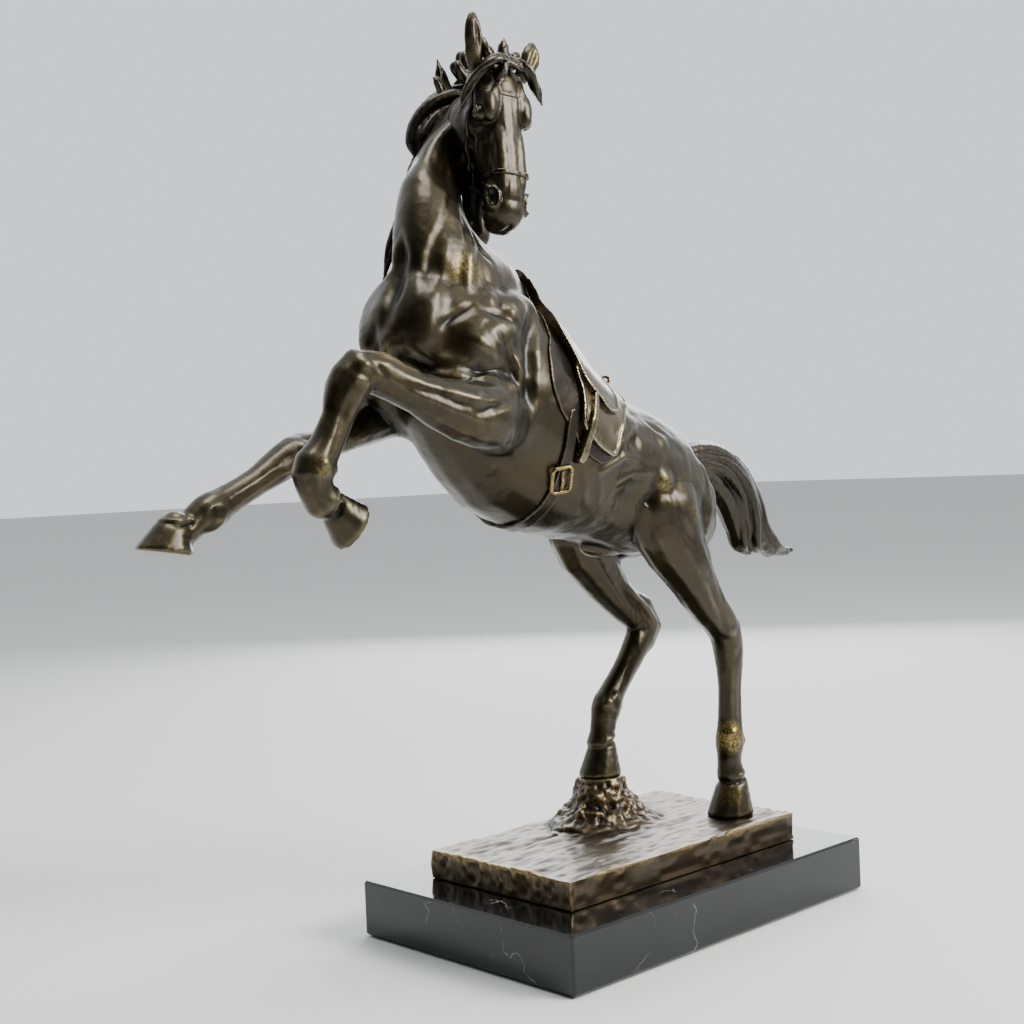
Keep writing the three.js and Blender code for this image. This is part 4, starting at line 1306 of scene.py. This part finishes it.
@dataclass(frozen=True)
class Layer:
    """One thickness of leather.

    Args:
        outline: its outline in the horse's X and Z.
        high: height of its face above the skin.
        rim: width of its raised edge, or 0.
        reach: range of Y that it spans.
    """

    outline: tuple[tuple[float, float], ...]
    high: float
    rim: float = 0.0
    reach: tuple[float, float] = (-90, 90)

    def build(self, form: bpy.types.Object) -> list[bpy.types.Object]:
        """Returns the layer, and its rim where it has one, over a form."""
        outline = rounded(list(self.outline))
        out = [boolean(prism(outline, *self.reach), raised(form, self.high), "INTERSECT")]
        if self.rim:
            inner = prism(inset(outline, self.rim), *self.reach)
            border = boolean(prism(outline, *self.reach), inner, "DIFFERENCE")
            out.append(boolean(border, raised(form, self.high + 0.8), "INTERSECT"))
        return out


@dataclass(frozen=True)
class Leather:
    """A piece of saddlery made of layers that follow the skin below them.

    Args:
        name: the piece's name.
        node: CAD node that it stands for.
        layers: its layers.
        low: height of its underside above the skin.
        folds: strokes pressed into its face.
        slot: the finish's slot; not used.
        finish: its finish.
    """

    name: str
    node: str
    layers: tuple[Layer, ...]
    low: float = 0.2
    folds: tuple[Stroke, ...] = ()
    slot: str = "dark_bronze"
    # near-black by default: painted shade on the saddle pad, the dark straps' own tone elsewhere
    finish: Finish = Finish.DARK_STRAP_AND_PAINTED_SHADE

    def build(self, form: bpy.types.Object, cell: float = 0.65) -> bpy.types.Object:
        """Returns the piece, laid over a form."""
        piece = join([one for layer in self.layers for one in layer.build(form)], self.name)
        if len(self.layers) == 1 and not self.layers[0].rim:
            boolean(piece, raised(form, self.low), "DIFFERENCE")
        piece = outer_shell(remesh(piece, cell))
        skin = Skin(piece)
        skin.smooth(5)
        skin.raise_by(rough(skin.co, 9, 21) * 0.25 + rough(skin.co, 3, 22) * 0.08)
        skin.raise_by(skin.heights(list(self.folds)))
        skin.write()
        skin.store(fine=skin.relief(6, 0.2), broad=skin.relief(40, 0.8), rubbed=np.zeros(len(skin.co)))
        piece.name = self.name
        hand_over(piece, [self.node], self.finish.material())
        return piece


def rounded(outline: Outline, rounds: int = 2) -> Outline:
    """Returns an outline with its corners cut smaller and smaller until they look round."""
    for _ in range(rounds):
        out = []
        for (ax, az), (bx, bz) in zip(outline, outline[1:] + outline[:1]):
            out.append((0.78 * ax + 0.22 * bx, 0.78 * az + 0.22 * bz))
            out.append((0.22 * ax + 0.78 * bx, 0.22 * az + 0.78 * bz))
        outline = out
    return outline


def inset(outline: Outline, by: float) -> Outline:
    """Returns an outline moved inwards."""
    points = np.array(outline)
    along = np.roll(points, -1, 0) - np.roll(points, 1, 0)
    along /= np.linalg.norm(along, axis=1, keepdims=True)
    inward = np.stack([-along[:, 1], along[:, 0]], 1)
    x, z = points.T
    area = (x * np.roll(z, -1) - np.roll(x, -1) * z).sum()
    return [tuple(p) for p in points + inward * by * np.sign(area)]


def raised(form: bpy.types.Object, by: float) -> bpy.types.Object:
    """Returns a copy of a form with its skin raised."""
    skin = Skin(duplicate(form, "layer"))
    skin.raise_by(by)
    skin.write()
    return skin.obj


@dataclass
class Saddlery:
    """Saddle pad, saddle, straps, girth and bridle."""

    pieces: tuple[Leather, ...] = (
        # the pad's near-black finish is painted shade, standing for the shadow under the saddle flap's front
        # edge
        Leather("pad_leather", "saddle_pad", (
            Layer(((80, 420), (84, 374), (87, 352), (98, 336), (102, 316), (95, 297), (84, 285), (80, 276),
                   (70, 268), (58, 262), (46, 266), (36, 288), (30, 318), (22, 360)), 1.6),
        )),
        Leather("saddle_flap", "saddle", (
            Layer(((70, 380), (75, 330), (76, 307), (80, 292), (77, 285), (70, 278), (62, 272), (50, 266),
                   (45, 274), (38, 286), (27, 298), (14, 306), (10, 330), (12, 360)), 4.6, 2.0),
            Layer(((74, 420), (80, 352), (77, 342), (73, 326), (68, 315), (64, 310), (59, 306), (58, 302),
                   (52, 297), (44, 296), (40, 300), (34, 310), (28, 330), (22, 360)), 7.0, 1.6),
        ), folds=(
            Stroke(((68, 53, 293), (56, 54, 280), (47, 51, 289), (40, 46, 298)), 1.7, -1.3, C),
            Stroke(((84, 36, 352), (80, 42, 330), (74, 47, 314)), 3, -2.0, C),
        ), slot="saddle_bronze", finish=Finish.TACK),
        Leather("billet_leather", "billet_strap", (
            Layer(((60, 312), (64, 312), (74, 292), (80, 277), (85, 266), (82, 263), (78, 266), (74, 279),
                   (68, 294)),
                  7.6, 0.0, (0, 90)),
        ), low=1.0, slot="saddle_bronze", finish=Finish.TACK),
        Leather("girth_leather", "girth", (
            Layer(((82, 300), (89, 298), (93, 270), (95, 252), (98, 236), (102, 215), (103, 190), (94, 190),
                   (93, 215), (90, 236), (87, 250), (85, 268)), 2.6),
        )),
    )

    def trunk(self, skin: Skin) -> None:
        """Lays the layers on the trunk."""
        chunk = boolean(duplicate(skin.obj, "chunk"), box((66, 0, 300), (150, 260, 300)), "INTERSECT")
        chunk = outer_shell(remesh(chunk, 2.0))
        smooth = Skin(chunk)
        smooth.smooth(10)
        smooth.write()
        for piece in self.pieces:
            piece.build(chunk)
        remove(chunk)

    def bridle(self, head: Skin) -> None:
        """Lays the noseband and the cheek straps on the head."""
        slope = HEAD @ Matrix.Translation((48, 0, -28)) @ turn("Y", 23)
        for node, shape in (
            ("noseband", box((78, 0, -10), (3.0, 60, 50), HEAD)),
            ("left_cheek_strap", box((0, 25, 0), (64, 50, 3.0), slope)),
            ("right_cheek_strap", box((0, -25, 0), (64, 50, 3.0), slope)),
        ):
            strap = boolean(shape, raised(head.obj, 1.3), "INTERSECT")
            strap = boolean(strap, raised(head.obj, -0.3), "DIFFERENCE")
            strap = outer_shell(remesh(strap, 0.5))
            soft = Skin(strap)
            soft.smooth(4)
            soft.write()
            soft.store(fine=soft.relief(5, 0.2), broad=soft.relief(30, 0.6), rubbed=np.zeros(len(soft.co)))
            strap.name = node + "_leather"
            hand_over(strap, [node], Finish.DARK_STRAP_AND_PAINTED_SHADE.material())

    def metal(self) -> None:
        """Makes the girth's buckle, its tongue and the cantle's ring."""
        place = Matrix.Translation((91, 47.5, 254)) @ turn("Z", -14) @ turn("X", -28) @ turn("Y", 8)
        rim = []
        for quarter, (sx, sz) in enumerate(((1, 1), (-1, 1), (-1, -1), (1, -1))):
            for k in range(5):
                a = math.radians(90 * quarter + 22.5 * k)
                rim.append(place @ Vector((sx * 4 + 3 * math.cos(a), 1.3, sz * 6 + 3 * math.sin(a))))
        buckle = tube("buckle_frame", np.array(rim), np.full(len(rim), 1.35), 10, closed=True,
                      across=tuple(place.to_3x3() @ Vector((0, 1, 0))))
        fix_normals(buckle)
        self.dress(buckle, "girth_buckle")
        bend = ((0, 1.6, -6.4), (0, 2.6, -3), (0, 2.8, 1), (0, 2.2, 4.5), (0, 2.4, 7.2))
        pin = [tuple(place @ Vector(p)) for p in bend]
        tongue = tube("buckle_pin", spline(pin, 16), np.linspace(1.25, 0.9, 16), 8)
        fix_normals(tongue)
        self.dress(tongue, "buckle_tongue")
        bpy.ops.object.select_all(action="DESELECT")
        bpy.ops.mesh.primitive_torus_add(major_radius=2.5, minor_radius=1.15, major_segments=28,
                                         minor_segments=12)
        ring = bpy.context.active_object
        ring.name = "cantle_ring"
        where = Matrix.Translation((27, 31, 320 + FLOOR)) @ turn("Z", 40) @ turn("Y", 70)
        ring.data.transform(Matrix.Scale(MM, 4) @ where)
        self.dress(ring, "cantle_stud")

    def dress(self, obj: bpy.types.Object, node: str) -> None:
        """Dresses one piece of buckle metal."""
        count = len(obj.data.vertices)
        skin = Skin(obj)
        skin.store(fine=np.full(count, 0.62), broad=np.full(count, 0.6), rubbed=np.full(count, 0.5))
        hand_over(obj, [node], Finish.TACK.material())

    def build(self, skin: Skin, head: Skin) -> None:
        """Makes all the saddlery on the skins of the body and the head."""
        self.trunk(skin)
        self.bridle(head)
        self.metal()
        remove(skin.obj)


# ---- Ground and base ----------------------------------------------------------------------------------


@dataclass
class Ground:
    """The bronze ground: a tooled slab with a crumbled rock under the right hind hoof."""

    length: float = 238.0
    width: float = 136.0
    height: float = 20.0
    rock: Point = (-17, -30, 34)

    def build(self) -> None:
        """Makes the ground."""
        slab = box((0, 0, -self.height / 2), (self.length - 1.5, self.width - 1.5, self.height - 0.6))
        x, y, _ = self.rock
        rings = ((-6, 56, 44), (2, 46, 36), (9, 33, 27), (17, 24.5, 21), (25, 20, 18), (33.5, 17, 16))
        around = 24
        points, faces = [], []
        for z, long, wide in rings:
            for k in range(around):
                a = math.tau * k / around
                reach = 1 + (0.10 * math.sin(3 * a + 1) + 0.06 * math.sin(5 * a)) * (1 - z / 40)
                points.append((x + 1 + long * reach * math.cos(a), y + wide * reach * math.sin(a), z))
        last = around * (len(rings) - 1)
        for low in range(0, last, around):
            high = low + around
            for k in range(around):
                m = (k + 1) % around
                faces.append((low + k, low + m, high + m, high + k))
        faces += [tuple(range(around - 1, -1, -1)), tuple(range(last, last + around))]
        rock = mesh_from("rock", np.array(points), faces)
        whole = remesh(join([slab, rock], "tooled_ground"), 1.1)
        skin = Skin(whole)
        skin.smooth(14)
        self.tool(skin)
        skin.write()
        edges = [Stroke(((118, 66, 0), (118, -66, 0)), 6, 0.5),
                 Stroke(((118, 66, 0), (-118, 66, 0)), 6, 0.4)]
        rubbed = np.clip(skin.heights(edges), 0, 1)
        skin.store(fine=skin.relief(6, 0.25), broad=skin.relief(50, 1.2), rubbed=rubbed)
        hand_over(whole, ["ground"], Finish.GROUND.material())

    def tool(self, skin: Skin) -> None:
        """Strokes the slab along its length and crumbles the rock."""
        x, y, top = self.rock
        far = np.hypot((skin.co[:, 0] - x) / 1.2, skin.co[:, 1] - y)
        on_rock = np.clip((40 - far) / 14, 0, 1) * np.clip((skin.co[:, 2] + 1) / 5, 0, 1)
        level = np.clip((top - 0.5 - skin.co[:, 2]) / 3, 0, 1)
        lift = rough(skin.co, (26, 9, 14), 31) * 1.1 + rough(skin.co, (9, 3.2, 5), 32) * 0.55
        lift += rough(skin.co, (60, 5, 30), 33) * 0.6
        base = np.clip((skin.co[:, 2] + self.height) / 4, 0, 1)
        crumbs = rough(skin.co, 7.5, 34) * 2.4 + rough(skin.co, 3.6, 35) * 1.5
        crumbs += rough(skin.co, 2.0, 36) * 0.5
        skin.raise_by((lift * (1 - on_rock) + crumbs * on_rock) * base * level)
        skin.co[:, 2] = np.clip(skin.co[:, 2], 0.05 - self.height, top)
        skin.co[:, 0] = np.clip(skin.co[:, 0], -self.length / 2, self.length / 2)
        skin.co[:, 1] = np.clip(skin.co[:, 1], -self.width / 2, self.width / 2)
        hoof = np.hypot((skin.co[:, 0] + 90) / 1.05, skin.co[:, 1] - 32)
        flat = np.clip((26 - hoof) / 6, 0, 1) * np.clip((skin.co[:, 2] + 6) / 3, 0, 1) * (1 - on_rock)
        skin.co[:, 2] = skin.co[:, 2] * (1 - flat) + np.minimum(skin.co[:, 2], 0.0) * flat
        z = skin.co[:, 2]
        skin.co[:, 2] = np.where((on_rock == 0) & (z > 0.8), 0.8 + 0.3 * (z - 0.8), z)


FASTENERS = (
    *(f"base_{kind}_{k}" for kind in ("bolt", "washer") for k in (1, 2, 3, 4)),
    *(f"{side}_{kind}" for side in ("left", "right") for kind in ("hoof_stud", "stud_washer", "stud_nut")),
)


@dataclass
class Base:
    """Marble, felt and the fasteners, whose CAD shapes are already right, save for the felt."""

    felt: Point = (293.0, 191.0, 1.0)  # length, width and thickness

    def build(self) -> None:
        """Dresses the base."""
        for name in ("marble_base", *FASTENERS):
            finish = Finish.MARBLE if name == "marble_base" else Finish.STEEL
            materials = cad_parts[name].data.materials
            materials.clear()
            materials.append(finish.material())
        long, wide, thick = self.felt
        sheet = box((0, 0, thick / 2 - FLOOR), (long, wide, thick))
        sheet.name = "felt_sheet"
        apply_modifier(sheet, "BEVEL", width=0.3 * MM, segments=3, limit_method="ANGLE")
        hand_over(sheet, ["felt_underlay"], Finish.FELT.material())


# ---- Light and camera ---------------------------------------------------------------------------------


@dataclass
class Studio:
    """The floor, the soft lights and the camera."""

    lens: float = 54.02
    eye: Point = (0.8008, 0.7485, 0.3224)
    right: Point = (-0.72395, 0.68851, -0.04290)
    up: Point = (-0.05129, 0.00830, 0.99865)

    def camera(self) -> None:
        """Sets the camera at the statue's front left, level with its belly."""
        data = bpy.data.cameras.new("camera")
        data.lens = self.lens
        data.sensor_width = 36
        data.clip_start = 0.01
        obj = bpy.data.objects.new("camera", data)
        bpy.context.scene.collection.objects.link(obj)
        right, up = Vector(self.right), Vector(self.up)
        turned = Matrix((right, up, right.cross(up))).transposed().to_4x4()
        obj.matrix_world = Matrix.Translation(self.eye) @ turned
        bpy.context.scene.camera = obj

    def floor(self) -> None:
        """Lays a plain pale floor."""
        bpy.ops.object.select_all(action="DESELECT")
        bpy.ops.mesh.primitive_plane_add(size=30)
        plane = bpy.context.active_object
        plane.name = "floor"
        paint = Paint("pale_matt_floor")
        plane.data.materials.append(paint.set(Base_Color=linear("dcdcda"), Roughness=0.9))

    def light(self, name: str, at: Point, aim: Point, size: float, power: float) -> None:
        """Hangs a square soft light.

        Args:
            name: its name.
            at: its place, in metres.
            aim: the point that it faces.
            size: its side, in metres.
            power: its power, in watts.
        """
        data = bpy.data.lights.new(name, "AREA")
        data.size = size
        data.energy = power
        obj = bpy.data.objects.new(name, data)
        bpy.context.scene.collection.objects.link(obj)
        way = Vector(aim) - Vector(at)
        obj.matrix_world = Matrix.Translation(at) @ way.to_track_quat("-Z", "Y").to_matrix().to_4x4()

    def build(self) -> None:
        """Sets up the whole studio."""
        self.camera()
        self.floor()
        self.light("window", (-0.75, 1.55, 1.35), (0, 0, 0.35), 0.9, 62)
        self.light("top", (0.1, 0.2, 1.9), (0, 0, 0.35), 0.8, 22)
        self.light("back", (-1.2, -1.0, 0.9), (0, 0, 0.35), 1.4, 24)
        self.surroundings()

    def surroundings(self) -> None:
        """A pale room, darker in front of the statue and brighter behind it."""
        world = bpy.data.worlds.new("soft_light")
        world.use_nodes = True
        tree = world.node_tree
        where = tree.nodes.new("ShaderNodeTexCoord").outputs["Generated"]
        dot = tree.nodes.new("ShaderNodeVectorMath")
        dot.operation = "DOT_PRODUCT"
        tree.links.new(where, dot.inputs[0])
        dot.inputs[1].default_value = (-0.66, -0.62, 0.30)
        ranged = tree.nodes.new("ShaderNodeMapRange")
        tree.links.new(dot.outputs["Value"], ranged.inputs["Value"])
        for name, value in (("From Min", -0.35), ("From Max", 0.45), ("To Min", 0.05), ("To Max", 1.15)):
            ranged.inputs[name].default_value = value
        background = tree.nodes["Background"]
        background.inputs["Color"].default_value = (0.94, 0.97, 1.0, 1)
        tree.links.new(ranged.outputs["Result"], background.inputs["Strength"])
        bpy.context.scene.world = world


def main() -> None:
    """Builds every part of the statue in order."""
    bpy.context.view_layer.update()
    Studio().build()
    log.info("studio is set up")
    head = Head().build()
    skin = Body().build(head.obj)
    log.info("body is sculpted")
    Saddlery().build(skin, head)
    log.info("saddlery is laid on")
    Hair().build()
    log.info("hair is melted together")
    Ground().build()
    Base().build()
    log.info("ground and base are done")


if __name__ == "__main__":
    logging.basicConfig(level=logging.INFO)
    main()
